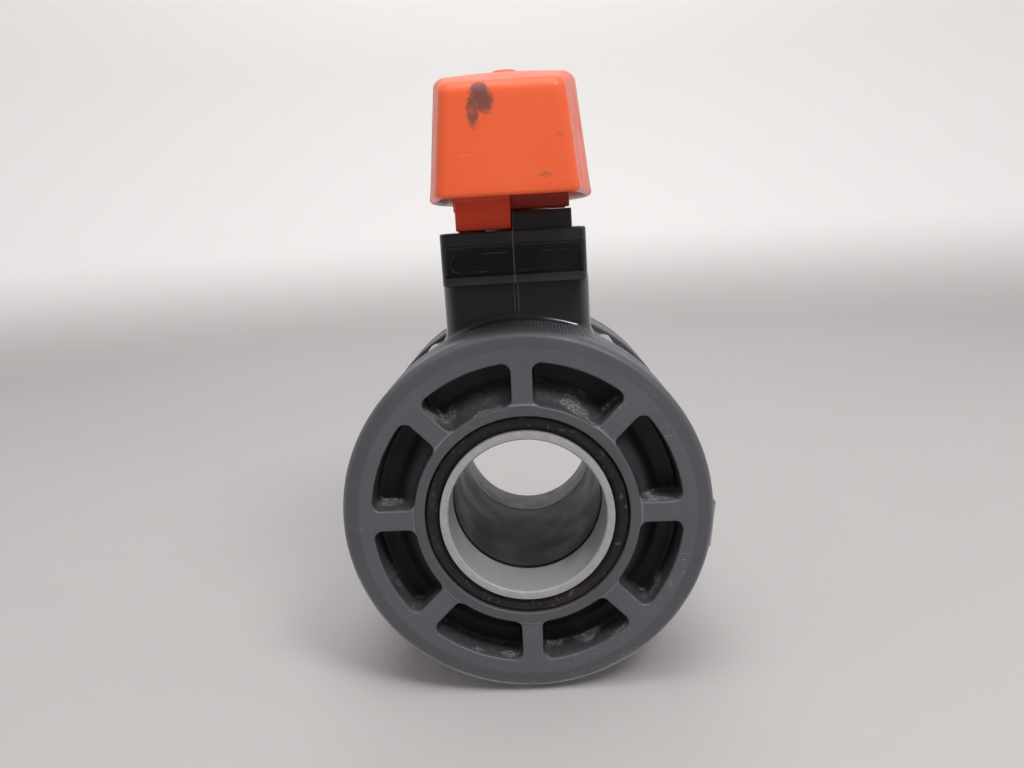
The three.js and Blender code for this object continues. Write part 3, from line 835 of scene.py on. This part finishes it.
def handle_walls(shape, inset, edge, bottom):
    """Loops up one side of the shell and over its rounded top edge to the middle of the crown."""
    loops = []
    high, steps = HANDLE["end_top"] - edge - inset, 10
    for level in range(steps):
        height = bottom + (high - bottom) * (level + 1) / steps
        # Towards the top, the level follows the crown.
        share = (level / (steps - 1)) ** 2
        plan = handle_plan(inset, height - HANDLE["bottom"])
        loops.append(crown_loop(shape, plan, inset, height, share))
    for reach, rise in arc((0, 0), edge, 0, 90, 8)[1:]:
        plan = handle_plan(inset + edge - reach, high - HANDLE["bottom"])
        loops.append(crown_loop(shape, plan, inset, high, rise=rise))
    # The last of these plans is drawn in to a ridge along the middle, short of both ends.
    end = max(y for _, y in plan) - HANDLE["spine_end"]
    for share in (0.25, 0.5, 0.75, 0.92, 1.0):
        points = []
        for x, y in plan:
            spine = max(min(y, end), -end)
            along = y + (spine - y) * share
            lift = crown_lift(along, inset)
            dome = HANDLE["dome"] * (1 - (1 - share) ** 2)
            points.append((narrowed(x, lift) * (1 - share), along, high + lift + edge + dome))
        loops.append(shape.loop(points))
    return loops


def narrowed(x, lift):
    """The draft's further narrowing where the crown lifts a point."""
    return x - math.copysign(min(DRAFT * lift, abs(x)), x)


def handle_shell():
    shape = Shape()
    rim, wall = HANDLE["rim"], HANDLE["wall"]
    bottom = HANDLE["bottom"] + rim
    outside = handle_walls(shape, 0, HANDLE["corner"] - 0.5, bottom)
    inside = handle_walls(shape, wall, HANDLE["inner_edge"], bottom)
    edge = [(rim - reach, drop) for reach, drop in arc((0, 0), rim, 0, 90, 6)]
    edge += [(wall - rim + reach, drop) for reach, drop in arc((0, 0), rim, 90, 0, 6)]
    under = [
        shape.loop([(x, y, bottom - drop) for x, y in handle_plan(inset, 0)])
        for inset, drop in edge
    ]
    shape.bridge_all([*reversed(outside), *under, *inside])
    return shape


def handle_core():
    """Inside the shell: the hub's boss, two walls over the block, ribs and the stop lug."""
    near, far, wall, high = STOP["near"], STOP["far"], HANDLE["wall"], HANDLE["end_top"]
    clear, crown = BLOCK["top"] + STOP["height"] + 0.6, HANDLE["crown"] - 1.6
    radius, bottom = HANDLE["boss_radius"], HANDLE["boss_bottom"]
    boss = spindle([(0, bottom), (radius, bottom, 0.6), (radius, crown), (0, crown)])
    walls = [
        block(2 * far, wall, clear, high, 0.5, 0.5, (0, side * (near + wall / 2)))
        for side in (-1, 1)
    ]
    ribs = [block(wall, 2 * near, clear, high, 0.5, 0.4, (side * 8, 0)) for side in (-1, 1)]
    at = (0.2 - far / 2, -(near + far) / 2)
    lug = block(far - 1, far - near, BLOCK["top"] + 0.6, high, 0.9, 0.5, at)
    return [boss, *walls, *ribs, lug]


def handle():
    size = STEM["square"] + 2 * GAP
    socket = block(size, size, BLOCK["top"], STEM["top"] + GAP, 0.6)
    low, high, radius = BLOCK["top"], STEM["round_top"] + 2, STEM["radius"] + 0.5
    clearance = spindle([(0, low), (radius, low), (radius, high), (0, high)])
    screw, floor, bore = SCREW["clearance"], HANDLE["cap_seat"], HANDLE["cap_bore"]
    low, high = STEM["top"] - 1, HANDLE["crown"] + 3
    way = spindle([
        (0, low), (screw, low), (screw, floor), (bore, floor), (bore, high), (0, high),
    ])
    return combined(
        handle_shell(),
        *(("UNION", part) for part in handle_core()),
        *(("DIFFERENCE", cut) for cut in (socket, clearance, way)),
    )


def handle_washer():
    inner, outer = WASHER["inner"], WASHER["outer"]
    low, high = HANDLE["cap_seat"] + GAP, HANDLE["cap_seat"] + 1.5
    return collar([(inner, low, 0.2), (outer, low, 0.3), (outer, high, 0.3), (inner, high, 0.2)])


def handle_screw():
    """A cross-headed screw, from its point in the stem to its head over the washer."""
    crest, root, radius = SCREW["crest"], SCREW["root"], SCREW["head"]
    head = HANDLE["cap_seat"] + 1.8
    top = head + SCREW["head_height"]
    threads = []
    height = STEM["top"] - 18
    while height < head - 3:
        threads += [(crest, height), (root, height + 0.4), (crest, height + 0.8)]
        height += SCREW["pitch"]
    blank = spindle([
        (0, STEM["top"] - 20), (root, STEM["top"] - 19), *threads, (crest, head),
        (radius, head, 0.2), (radius, head + 1.6, 0.5), (4.2, top, 0.8), (0, top),
    ])
    cross = (SCREW["cross"], reversed(SCREW["cross"]))
    cuts = [block(*arm, head + 1, head + 4, 0.2) for arm in cross]
    return combined(blank, *(("DIFFERENCE", cut) for cut in cuts))


def handle_cap():
    """A round cap: a skirt in the handle's bore, a brim on the crown and a low dome."""
    skirt, brim, dome, top = HANDLE["cap_bore"] - GAP, CAP["brim"], CAP["dome"], CAP["top"]
    inside, low = skirt - CAP["wall"], HANDLE["crown"] + GAP
    return spindle([
        (0, low + 0.8), (inside, low + 0.8), (inside, low - 1.9, 0.2), (skirt, low - 1.9, 0.2),
        (skirt, low), (brim, low, 0.2), (brim, low + 0.8, 0.3), (6, low + 2.4, 0.8),
        (dome, top - 0.7, 0.3), (4.6, top, 0.4), (0, top),
    ])


# ---- Materials ----------------------------------------------------------------------------------
class Finish:
    """A Principled material and the few procedural nodes that the finishes share."""

    def __init__(self, name, **sockets):
        self.material = bpy.data.materials.new(name)
        self.material.use_nodes = True
        self.tree = self.material.node_tree
        self.shader = self.tree.nodes["Principled BSDF"]
        for socket, value in sockets.items():
            self.shader.inputs[SOCKETS[socket]].default_value = value
        self.place = self.node("ShaderNodeTexCoord").outputs["Object"]

    def node(self, kind, inputs=None, **settings):
        made = self.tree.nodes.new(kind)
        for name, value in settings.items():
            setattr(made, name, value)
        for name, value in (inputs or {}).items():
            self.feed(made.inputs[name], value)
        return made

    def feed(self, socket, value):
        if isinstance(value, bpy.types.NodeSocket):
            self.tree.links.new(value, socket)
        else:
            socket.default_value = value

    def stretched(self, scale):
        """The place in the object, scaled along each axis, per metre."""
        return self.node("ShaderNodeMapping", {"Vector": self.place, "Scale": scale}).outputs[0]

    def noise(self, scale, detail, roughness=0.5, place=None):
        return self.node("ShaderNodeTexNoise", {
            "Vector": place or self.place, "Scale": scale, "Detail": detail,
            "Roughness": roughness,
        }).outputs["Fac"]

    def maths(self, operation, *values, clamp=False):
        made = self.node("ShaderNodeMath", operation=operation, use_clamp=clamp)
        for socket, value in zip(made.inputs, values):
            self.feed(socket, value)
        return made.outputs[0]

    def times(self, *values):
        return functools.reduce(lambda a, b: self.maths("MULTIPLY", a, b), values)

    def most(self, *values):
        return functools.reduce(lambda a, b: self.maths("MAXIMUM", a, b), values)

    def size(self, value):
        return self.maths("ABSOLUTE", value)

    def distance(self, a, b):
        """The length of the long side of a right-angled triangle with sides a and b."""
        squares = [self.times(side, side) for side in (a, b)]
        return self.maths("SQRT", self.maths("ADD", *squares))

    def ranged(self, value, low, high, to_low=0.0, to_high=1.0):
        return self.node("ShaderNodeMapRange", {
            "Value": value, "From Min": low, "From Max": high, "To Min": to_low, "To Max": to_high,
        }, interpolation_type="SMOOTHSTEP").outputs["Result"]

    def mixed(self, factor, a, b):
        made = self.node("ShaderNodeMix", data_type="RGBA")
        for socket, value in ((made.inputs[0], factor), (made.inputs[6], a), (made.inputs[7], b)):
            self.feed(socket, value)
        return made.outputs[2]

    def over(self, under, colour, mask, amount=None):
        """A colour laid over what is under it where the mask is 1, in full or by an amount."""
        return self.mixed(mask if amount is None else self.times(mask, amount), under, colour)

    def parts(self, vector):
        return self.node("ShaderNodeSeparateXYZ", {"Vector": vector}).outputs

    def bump(self, height, distance, strength=1.0, under=None):
        made = self.node("ShaderNodeBump", {
            "Height": height, "Distance": distance, "Strength": strength,
        })
        if under is not None:
            self.feed(made.inputs["Normal"], under)
        return made.outputs["Normal"]

    def colour(self, value):
        self.feed(self.shader.inputs["Base Color"], value)

    def clouded(self, noise, dark, light):
        """A colour that drifts between two with a noise."""
        return self.mixed(self.noise(*noise), dark, light)

    def uneven(self, noise, low, high):
        """A value that drifts from low to high with a noise."""
        return self.ranged(self.noise(*noise), 0.3, 0.7, low, high)

    def roughness(self, value):
        self.feed(self.shader.inputs["Roughness"], value)

    def normal(self, value):
        self.feed(self.shader.inputs["Normal"], value)


SOCKETS = {
    "metallic": "Metallic", "ior": "IOR", "coat": "Coat Weight", "coat_roughness": "Coat Roughness",
    "specular": "Specular IOR Level",
}


def rgb(red, green, blue):
    return (red, green, blue, 1.0)


def axial_place(finish):
    """The distance from the pipe axis, and how far back from the nuts' outer faces, in metres."""
    spot = finish.parts(finish.place)
    depth = finish.maths("SUBTRACT", FACE * MM, finish.size(spot["Y"]))
    rise = finish.maths("SUBTRACT", spot["Z"], AXIS_HEIGHT * MM)
    return finish.distance(spot["X"], rise), depth


def recess_masks(finish, radius, depth):
    """1 inside the nuts' pockets, and 1 on the deeper part of their floors."""
    inner, outer = NUT["pocket_inner"], NUT["pocket_outer"]
    within = finish.times(
        finish.ranged(radius, (inner - 0.9) * MM, (inner - 0.3) * MM),
        finish.ranged(radius, (outer + 1.2) * MM, (outer + 0.6) * MM),
    )
    inside = finish.times(within, finish.ranged(depth, 0.0009, 0.0026))
    deep = finish.times(within, finish.ranged(depth, 0.0088, 0.0118))
    return inside, deep


def nut_plastic():
    """Satin dark grey, scuffed, with pale dust lying in the pockets; its rim's rounded edge and its
    pockets are painted darker as shade.
    """
    finish = Finish("nut_plastic", ior=1.5, specular=0.5)
    shade = finish.clouded((38, 5, 0.62), rgb(0.060, 0.060, 0.068), rgb(0.088, 0.088, 0.098))
    # Hairline scratches, each thin noise drawn out along one direction.
    scratches = []
    for scale in ((60, 60, 1900), (1700, 80, 140), (900, 60, 620)):
        lines = finish.noise(1, 2, 0.6, finish.stretched(scale))
        scratches.append(finish.ranged(lines, 0.70, 0.735))
    scuff = finish.times(finish.most(*scratches), finish.ranged(finish.noise(22, 2), 0.46, 0.62))
    shade = finish.over(shade, rgb(0.26, 0.26, 0.27), scuff, 0.55)
    # Only the handled faces have gone grey, and the hub's face keeps a darker tone. The rim's
    # rounded edge and the pockets are painted darker as shade, and they are unworn as well.
    radius, depth = axial_place(finish)
    # Painted shade on the rounded rim past the face's edge, which is also unscuffed: darker from
    # the face's edge outward.
    rim = finish.ranged(radius, (NUT["face_radius"] - 0.2) * MM, (NUT["face_radius"] + 0.4) * MM)
    shade = finish.over(shade, rgb(0.030, 0.030, 0.036), rim, 0.36)
    hub = finish.ranged(radius, HUB["radius"] * MM, (HUB["radius"] - 0.5) * MM)
    shade = finish.over(shade, rgb(0.03, 0.03, 0.034), hub, 0.3)
    # A painted highlight on the hub's step edge, which is also rubbed pale there: a thin, broken
    # pale ring.
    edge = finish.size(finish.maths("SUBTRACT", radius, (HUB["radius"] + 0.25) * MM))
    rubbed_highlight = finish.times(finish.ranged(edge, 0.0003, 0.0001), finish.noise(90, 3))
    shade = finish.over(shade, rgb(0.2, 0.2, 0.21), rubbed_highlight)
    recess, floor = recess_masks(finish, radius, depth)
    # Painted shade in the pockets, which are also unworn: darker inside, and nearly black on their
    # deep floors.
    shade = finish.over(shade, rgb(0.030, 0.031, 0.036), recess)
    shade = finish.over(shade, rgb(0.0025, 0.0025, 0.003), floor)
    # Dust: in the pockets, on walls that look up, gathered in specks and a few drifts.
    normal = finish.parts(finish.node("ShaderNodeNewGeometry").outputs["Normal"])
    level = finish.times(recess, finish.ranged(normal["Z"], 0.2, 0.75))
    drifts = finish.ranged(finish.noise(85, 2), 0.5, 0.66)
    specks = finish.ranged(finish.noise(1100, 3, 0.7), 0.47, 0.6)
    settled = finish.times(level, finish.maths("ADD", 0.14, drifts, clamp=True))
    fine = finish.times(settled, finish.maths("ADD", 0.2, specks, clamp=True))
    shade = finish.over(shade, rgb(0.3, 0.3, 0.295), fine, 0.75)
    # Where the rim has stood on bench tops it is scored pale.
    bearing = finish.times(
        finish.ranged(radius, (NUT["radius"] - 4.5) * MM, (NUT["radius"] - 1.5) * MM),
        finish.ranged(finish.parts(finish.place)["Z"], 0.022, 0.012),
        finish.ranged(depth, 0.007, 0.003),
        finish.ranged(finish.noise(1, 3, 0.7, finish.stretched((260, 900, 1500))), 0.55, 0.63),
    )
    finish.colour(finish.over(shade, rgb(0.34, 0.34, 0.35), bearing, 0.35))
    rough = finish.uneven((60, 4), 0.42, 0.56)
    finish.roughness(finish.maths("ADD", rough, finish.times(fine, 0.3)))
    grain = finish.bump(finish.noise(1500, 3, 0.6), 0.00006, 0.5)
    finish.normal(finish.bump(scuff, 0.00005, 0.5, grain))
    return finish.material


def band_mask(finish, spot):
    """1 inside the sunk bands across the front and the rear of the block."""
    low, high = ((BAND[key] + AXIS_HEIGHT) * MM for key in ("bottom", "top"))
    front = BLOCK["depth"] / 2
    return finish.times(
        finish.ranged(spot["Z"], low, low + 0.0003),
        finish.ranged(spot["Z"], high, high - 0.0003),
        finish.ranged(finish.size(spot["Y"]), (front - 0.1) * MM, (front - 0.4) * MM),
    )


def panel_edge_mask(finish, spot):
    """1 along the edge of the round-ended panel in each band."""
    middle = (BAND["bottom"] + BAND["top"]) / 2 - SLOT["drop"] + AXIS_HEIGHT
    radius = SLOT["height"] / 2
    past = finish.maths("SUBTRACT", finish.size(spot["X"]), (SLOT["half"] - radius) * MM)
    rise = finish.maths("SUBTRACT", spot["Z"], middle * MM)
    reach = finish.distance(finish.most(past, 0.0), rise)
    off = finish.size(finish.maths("SUBTRACT", reach, radius * MM))
    return finish.ranged(off, 0.00024, 0.0001)


def flash_mask(finish, spot):
    """1 on the parting line's flash: single on the block, double on the neck."""
    across = finish.size(spot["X"])
    joint, saddle = ((BLOCK["bottom"] + AXIS_HEIGHT) * MM, (COLUMN["saddle"] + AXIS_HEIGHT) * MM)
    neck = finish.ranged(spot["Z"], joint + 0.0004, joint)
    beside = finish.size(finish.maths("SUBTRACT", across, FLASH["apart"] * MM))
    reach = finish.node("ShaderNodeMix", {"Factor": neck, "A": across, "B": beside}).outputs[0]
    return finish.times(
        finish.ranged(reach, 0.0003, 0.00012), finish.ranged(spot["Z"], saddle, saddle + 0.007)
    )


def body_plastic():
    """Glossy near-black moulding: its sunk bands are painted blacker as shade, its panel edges
    carry dust and a painted highlight, and its flash is rubbed pale.
    """
    finish = Finish("body_plastic", ior=1.5, specular=0.5, coat=0.25, coat_roughness=0.06)
    shade = finish.clouded((30, 4), rgb(0.018, 0.0182, 0.021), rgb(0.027, 0.0272, 0.0305))
    spot = finish.parts(finish.place)
    # The sunk bands are painted blacker as shade in the recess. They also keep the unworn black
    # where the outer faces have greyed.
    band = band_mask(finish, spot)
    shade = finish.over(shade, rgb(0.006, 0.0062, 0.007), band)
    # A faint pale line round each sunk panel: dust caught on the edge, and a painted highlight
    # there.
    dust_and_highlight = finish.ranged(finish.noise(110, 3), 0.42, 0.66, 0.1, 0.75)
    edge = finish.times(band, panel_edge_mask(finish, spot), dust_and_highlight)
    shade = finish.over(shade, rgb(0.075, 0.075, 0.078), edge)
    finish.colour(finish.over(shade, rgb(0.13, 0.13, 0.135), flash_mask(finish, spot), 0.6))
    smears = finish.noise(1, 3, 0.55, finish.stretched((70, 70, 30)))
    finish.roughness(finish.ranged(smears, 0.35, 0.68, 0.13, 0.26))
    flow = finish.bump(finish.noise(24, 2, 0.3), 0.0012, 0.25)
    finish.normal(finish.bump(finish.noise(1400, 2), 0.00003, 0.25, flow))
    return finish.material


def socket_plastic():
    """Dull black, chipped into pale flecks where the pipe was pushed home."""
    finish = Finish("socket_plastic", ior=1.48, specular=0.4)
    base = finish.clouded((60, 4), rgb(0.005, 0.005, 0.0055), rgb(0.012, 0.011, 0.011))
    stain = finish.ranged(finish.noise(28, 2), 0.5, 0.62, 0.0, 0.5)
    base = finish.over(base, rgb(0.028, 0.016, 0.011), stain)
    flecks = finish.ranged(finish.noise(1, 4, 0.7, finish.stretched((520, 260, 520))), 0.60, 0.66)
    finish.colour(finish.over(base, rgb(0.12, 0.12, 0.12), flecks, 0.5))
    finish.roughness(finish.uneven((200, 3), 0.4, 0.62))
    finish.normal(finish.bump(finish.noise(900, 4, 0.65), 0.00012, 0.6))
    return finish.material


def pipe_plastic():
    """Grey pipe: a smooth wall, and a sawn end with slanting cutter marks."""
    finish = Finish("pipe_plastic", ior=1.5, specular=0.45)
    spot = finish.parts(finish.place)
    slant = finish.maths("ADD", spot["X"], finish.times(spot["Z"], 0.8))
    wander = finish.times(finish.noise(180, 2), 0.0014)
    teeth = finish.maths("SINE", finish.times(finish.maths("ADD", slant, wander), 5200))
    face = finish.ranged(finish.size(spot["Y"]), FACE * MM - 0.0006, FACE * MM - 0.0001)
    kerf = finish.times(face, finish.times(teeth, finish.noise(90, 3)))
    cloud = finish.clouded((55, 4), rgb(0.205, 0.204, 0.2), rgb(0.28, 0.279, 0.274))
    sawn = finish.clouded((320, 4), rgb(0.22, 0.219, 0.215), rgb(0.34, 0.338, 0.33))
    # The rear stub is painted nearly black all over: painted shade for the far end of the bore.
    rear = finish.ranged(spot["Y"], -0.001, 0.001, 0.0, 0.9)
    finish.colour(finish.over(finish.mixed(face, cloud, sawn), rgb(0.03, 0.03, 0.031), rear))
    finish.roughness(finish.uneven((120, 3), 0.4, 0.55))
    drawn = finish.bump(finish.noise(1, 2, 0.5, finish.stretched((260, 9, 260))), 0.00008, 0.35)
    finish.normal(finish.bump(kerf, 0.00012, 0.6, drawn))
    return finish.material


def plain(name, cloud, dark, light, gloss, low, high, relief, height, strength, **sockets):
    """A clouded colour, an uneven gloss and a fine relief: noise, or rings along an axis."""
    finish = Finish(name, **sockets)
    finish.colour(finish.clouded(cloud, rgb(*dark), rgb(*light)))
    if relief[0] in ("Y", "Z"):
        axis, rings = relief
        bumps = finish.maths("SINE", finish.times(finish.parts(finish.place)[axis], rings))
    else:
        bumps = finish.noise(*relief)
    finish.roughness(finish.uneven(gloss, low, high))
    finish.normal(finish.bump(bumps, height, strength))
    return finish.material


def ball_plastic():
    """Polished dark grey, faintly turned round the bore."""
    return plain(
        "ball_plastic", (26, 3), (0.016, 0.016, 0.0155), (0.028, 0.0275, 0.027),
        (80, 3), 0.48, 0.6, ("Y", 9000), 0.00001, 0.25, ior=1.35, specular=0.3,
    )


def stem_plastic():
    return plain(
        "stem_plastic", (50, 4), (0.035, 0.036, 0.04), (0.06, 0.06, 0.066),
        (90, 2), 0.34, 0.48, ("Z", 12000), 0.00002, 0.3, ior=1.5, specular=0.5,
    )


def spot_mask(finish, middle, size, edge_noise, soft=0.35):
    """1 inside an uneven oval patch about a place in millimetres, and 0 outside it."""
    def vector(operation, *values):
        inputs = dict(enumerate(values))
        return finish.node("ShaderNodeVectorMath", inputs, operation=operation).outputs

    centre = Vector(middle) * MM + Vector((0, 0, AXIS_HEIGHT * MM))
    offset = vector("SUBTRACT", finish.place, centre)[0]
    scaled = vector("MULTIPLY", offset, [1 / (MM * extent) for extent in size])[0]
    length = vector("LENGTH", scaled)["Value"]
    return finish.ranged(finish.maths("ADD", length, edge_noise), 1 + soft, 1 - soft)


def handle_plastic():
    """Orange-red moulding: satin, with a dark rubbed smudge and small knocks on the front."""
    finish = Finish("handle_plastic", ior=1.5, specular=0.38)
    shade = finish.clouded((24, 4, 0.55), rgb(0.65, 0.078, 0.017), rgb(0.75, 0.116, 0.034))
    # Under the handle the colour is painted as shade, and the plastic there is also unfaded: a
    # deeper red on the lugs, and darkest on the hub.
    spot = finish.parts(finish.place)
    skirt = (HANDLE["bottom"] + AXIS_HEIGHT) * MM
    # Painted shade below the skirt: a deeper, more saturated red.
    under = finish.ranged(spot["Z"], skirt + 0.0006, skirt - 0.0002)
    shade = finish.over(shade, rgb(0.72, 0.046, 0.006), under)
    # Painted shade on the hub and the inner walls beside the stem: a near-black red.
    hub = finish.times(
        finish.ranged(finish.size(spot["Y"]), 0.0205, 0.0185),
        finish.ranged(spot["Z"], skirt + 0.004, skirt + 0.002),
    )
    shade = finish.over(shade, rgb(0.22, 0.009, 0.004), hub, 0.75)
    ragged = finish.times(finish.maths("SUBTRACT", finish.noise(330, 5, 0.7), 0.5), 1.9)

    def patches(*places):
        front = -HANDLE["half"]
        masks = [spot_mask(finish, (x, front, z), size, ragged) for x, z, size in places]
        return finish.most(*masks)

    smudge = patches(
        (-6.2, 141.2, (3.5, 4, 3.7)), (-9.4, 138.4, (1.9, 4, 4.2)), (-6.8, 144.6, (2.4, 4, 2.6))
    )
    smudge = finish.times(smudge, finish.ranged(finish.noise(210, 3), 0.25, 0.5, 0.45, 0.92))
    shade = finish.over(shade, rgb(0.115, 0.047, 0.042), smudge)
    knocks = patches((17.3, 129.6, (1.1, 3, 0.9)), (12.3, 117.8, (2.4, 3, 0.9)))
    knocks = finish.times(knocks, finish.ranged(finish.noise(650, 4, 0.7), 0.4, 0.6))
    shade = finish.over(shade, rgb(0.2, 0.07, 0.04), knocks, 0.75)
    scratch = finish.times(
        finish.ranged(finish.noise(1, 2, 0.6, finish.stretched((110, 110, 2300))), 0.66, 0.70),
        finish.ranged(finish.noise(30, 2), 0.5, 0.62),
    )
    shade = finish.over(shade, rgb(0.9, 0.32, 0.2), scratch, 0.3)
    grime = finish.ranged(finish.noise(150, 5, 0.7), 0.66, 0.76, 0.0, 0.4)
    finish.colour(finish.over(shade, rgb(0.3, 0.07, 0.04), grime))
    rough = finish.uneven((70, 4), 0.34, 0.48)
    finish.roughness(finish.maths("ADD", rough, finish.times(smudge, 0.25)))
    grain = finish.bump(finish.noise(1100, 3, 0.6), 0.00006, 0.4)
    finish.normal(finish.bump(scratch, 0.00004, 0.5, grain))
    return finish.material


def seat_plastic():
    return plain(
        "seat_plastic", (40, 4), (0.72, 0.71, 0.66), (0.84, 0.83, 0.79),
        (90, 3), 0.36, 0.5, (700, 2), 0.00003, 0.4, ior=1.38, specular=0.4,
    )


def seal_rubber():
    return plain(
        "seal_rubber", (140, 4), (0.012, 0.012, 0.013), (0.024, 0.024, 0.025),
        (160, 3), 0.55, 0.72, (1300, 3), 0.00008, 0.5, ior=1.5, specular=0.3,
    )


def metal(name, dark, light):
    """A turned metal, with fine rings along the stem's direction."""
    return plain(
        name, (130, 4), dark, light, (240, 3), 0.22, 0.38, ("Z", 16000), 0.000015, 0.4,
        metallic=1.0,
    )


MATERIALS = {
    "nut_plastic": nut_plastic(),
    "body_plastic": body_plastic(),
    "socket_plastic": socket_plastic(),
    "pipe_plastic": pipe_plastic(),
    "ball_plastic": ball_plastic(),
    "stem_plastic": stem_plastic(),
    "handle_plastic": handle_plastic(),
    "seat_plastic": seat_plastic(),
    "seal_rubber": seal_rubber(),
    "screw_steel": metal("screw_steel", (0.46, 0.46, 0.47), (0.62, 0.62, 0.63)),
    "insert_brass": metal("insert_brass", (0.52, 0.34, 0.11), (0.68, 0.48, 0.2)),
}


# ---- Assembly -----------------------------------------------------------------------------------
def piece(node, shape, body, slot, rear=False):
    """The finished surface that stands for a CAD node; a rear piece is turned half round."""
    mesh = shape.mesh(f"{node}_fine", MM, AXIS_HEIGHT, math.pi if rear else 0.0)
    mesh.shade_smooth()
    mesh.set_sharp_from_angle(angle=math.radians(CREASE))
    mesh.materials.append(MATERIALS[slot])
    made = bpy.data.objects.new(f"{node}_fine", mesh)
    bpy.context.scene.collection.objects.link(made)
    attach(made, body)
    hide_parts(node)


piece("valve_body", valve_body(), "valve", "body_plastic")
piece("seat_carrier", seat_carrier(), "valve", "socket_plastic")
piece("seat_carrier_oring", carrier_seal(), "valve", "seal_rubber")
piece("ball", ball(), "ball", "ball_plastic")
piece("stem", stem(), "handle", "stem_plastic")
piece("stem_thrust_washer", thrust_washer(), "valve", "seat_plastic")
piece("stem_oring_lower", stem_seal(STEM["grooves"][0]), "handle", "seal_rubber")
piece("stem_oring_upper", stem_seal(STEM["grooves"][1]), "handle", "seal_rubber")
for end, rear in (("front", False), ("rear", True)):
    piece(f"seat_{end}", seat(), "valve", "seat_plastic", rear)
    piece(f"seat_cushion_oring_{end}", cushion(), "valve", "seal_rubber", rear)
    piece(f"end_connector_{end}", end_connector(), f"{end}_union", "socket_plastic", rear)
    piece(f"face_oring_{end}", face_seal(), f"{end}_union", "seal_rubber", rear)
    piece(f"pipe_stub_{end}", pipe_stub(), f"{end}_union", "pipe_plastic", rear)
    piece(f"union_nut_{end}", union_nut(), f"{end}_nut", "nut_plastic", rear)
piece("foot_insert_left", foot_insert(-1), "valve", "insert_brass")
piece("foot_insert_right", foot_insert(1), "valve", "insert_brass")
piece("handle", handle(), "handle", "handle_plastic")
piece("handle_screw", handle_screw(), "handle", "screw_steel")
piece("handle_washer", handle_washer(), "handle", "screw_steel")
piece("handle_cap", handle_cap(), "handle", "handle_plastic")


# ---- Stage, light and camera --------------------------------------------------------------------
def surround():
    """A pale floor that curves up into walls all round."""
    radius, height, cove, floor = 1500, 1900, 500, -0.3 - AXIS_HEIGHT
    profile = [(0, floor), (500, floor), *arc((radius - cove, floor + cove), cove, -90, 0, 16)]
    profile.append((radius, floor + height))
    shape = turned(profile, about_stem, 96, closed=False)
    mesh = shape.mesh("surround", MM, AXIS_HEIGHT, facing=False)
    mesh.shade_smooth()
    finish = Finish("surround", specular=0.2)
    rise = finish.ranged(finish.parts(finish.place)["Z"], 0.0, 0.16)
    cloud = finish.mixed(finish.noise(3, 3), rgb(0.40, 0.382, 0.376), rgb(0.43, 0.411, 0.405))
    finish.colour(finish.mixed(rise, cloud, rgb(0.76, 0.745, 0.737)))
    finish.roughness(0.65)
    mesh.materials.append(finish.material)
    made = bpy.data.objects.new("surround", mesh)
    made.visible_glossy = False  # the studio's bright and dark sides are in the world instead
    bpy.context.scene.collection.objects.link(made)


def soft_light(name, place, width, power, aim=(0, 0, 0.1)):
    light = bpy.data.lights.new(name, "AREA")
    light.shape = "DISK"
    light.size = width
    light.energy = power
    made = bpy.data.objects.new(name, light)
    made.location = place
    made.rotation_euler = (Vector(place) - Vector(aim)).to_track_quat("Z", "Y").to_euler()
    bpy.context.scene.collection.objects.link(made)
    return made


def studio_world():
    """Even pale light; in gloss it is bright to the sides and behind, and dark in front."""
    world = bpy.data.worlds.new("studio")
    world.use_nodes = True
    nodes, links = world.node_tree.nodes, world.node_tree.links
    background = nodes["Background"]
    direction = nodes.new("ShaderNodeSeparateXYZ")
    links.new(nodes.new("ShaderNodeTexCoord").outputs["Generated"], direction.inputs[0])
    behind = nodes.new("ShaderNodeMapRange")
    behind.interpolation_type = "SMOOTHSTEP"
    links.new(direction.outputs["Y"], behind.inputs["Value"])
    below = nodes.new("ShaderNodeMapRange")
    links.new(direction.outputs["Z"], below.inputs["Value"])
    limits = ("From Min", "From Max", "To Min", "To Max")
    for node, values in ((behind, (-0.92, 0.05, 0.09, 0.85)), (below, (-0.06, -0.4, 0.0, 0.4))):
        for name, value in zip(limits, values):
            node.inputs[name].default_value = value
    total = nodes.new("ShaderNodeMath")
    links.new(behind.outputs["Result"], total.inputs[0])
    links.new(below.outputs["Result"], total.inputs[1])
    choice = nodes.new("ShaderNodeMix")
    choice.data_type = "FLOAT"
    links.new(nodes.new("ShaderNodeLightPath").outputs["Is Glossy Ray"], choice.inputs["Factor"])
    choice.inputs["A"].default_value = 0.4
    links.new(total.outputs["Value"], choice.inputs["B"])
    links.new(choice.outputs["Result"], background.inputs["Strength"])
    background.inputs["Color"].default_value = rgb(0.97, 0.97, 1.0)
    bpy.context.scene.world = world


def lighting():
    studio_world()
    soft_light("ceiling", (0.0, -0.35, 1.45), 1.0, 12)
    soft_light("key", (0.5, -0.7, 1.05), 0.4, 8)
    bounce = soft_light("bounce", (0.05, -0.8, 0.34), 0.4, 0.85, (0, 0, 0.05))
    bounce.visible_glossy = False
    soft_light("back", (0.0, 0.9, 1.2), 0.9, 5, (0, 1.2, 0.4))


def camera():
    """The viewer's camera: before the front nut, above its axis, leaning as the object does."""
    lean, yaw, pitch, roll = (math.radians(angle) for angle in (3.2, 1.057, 10.754, -0.197))
    data = bpy.data.cameras.new("camera")
    data.sensor_width = 36.0
    data.lens = 29.88
    made = bpy.data.objects.new("camera", data)
    bpy.context.scene.collection.objects.link(made)
    leaning = Matrix.Rotation(lean, 4, "Y")
    turn = Matrix.Rotation(yaw, 4, "Z") @ Matrix.Rotation(math.pi / 2 - pitch, 4, "X")
    stand = leaning @ Matrix.Translation((0, -0.3465, 0.1038)) @ turn
    stand = stand @ Matrix.Rotation(roll, 4, "Z")
    made.matrix_world = Matrix.Translation((0, 0, AXIS_HEIGHT * MM)) @ stand
    bpy.context.scene.camera = made


surround()
lighting()
camera()
bpy.context.scene.view_settings.view_transform = "Standard"
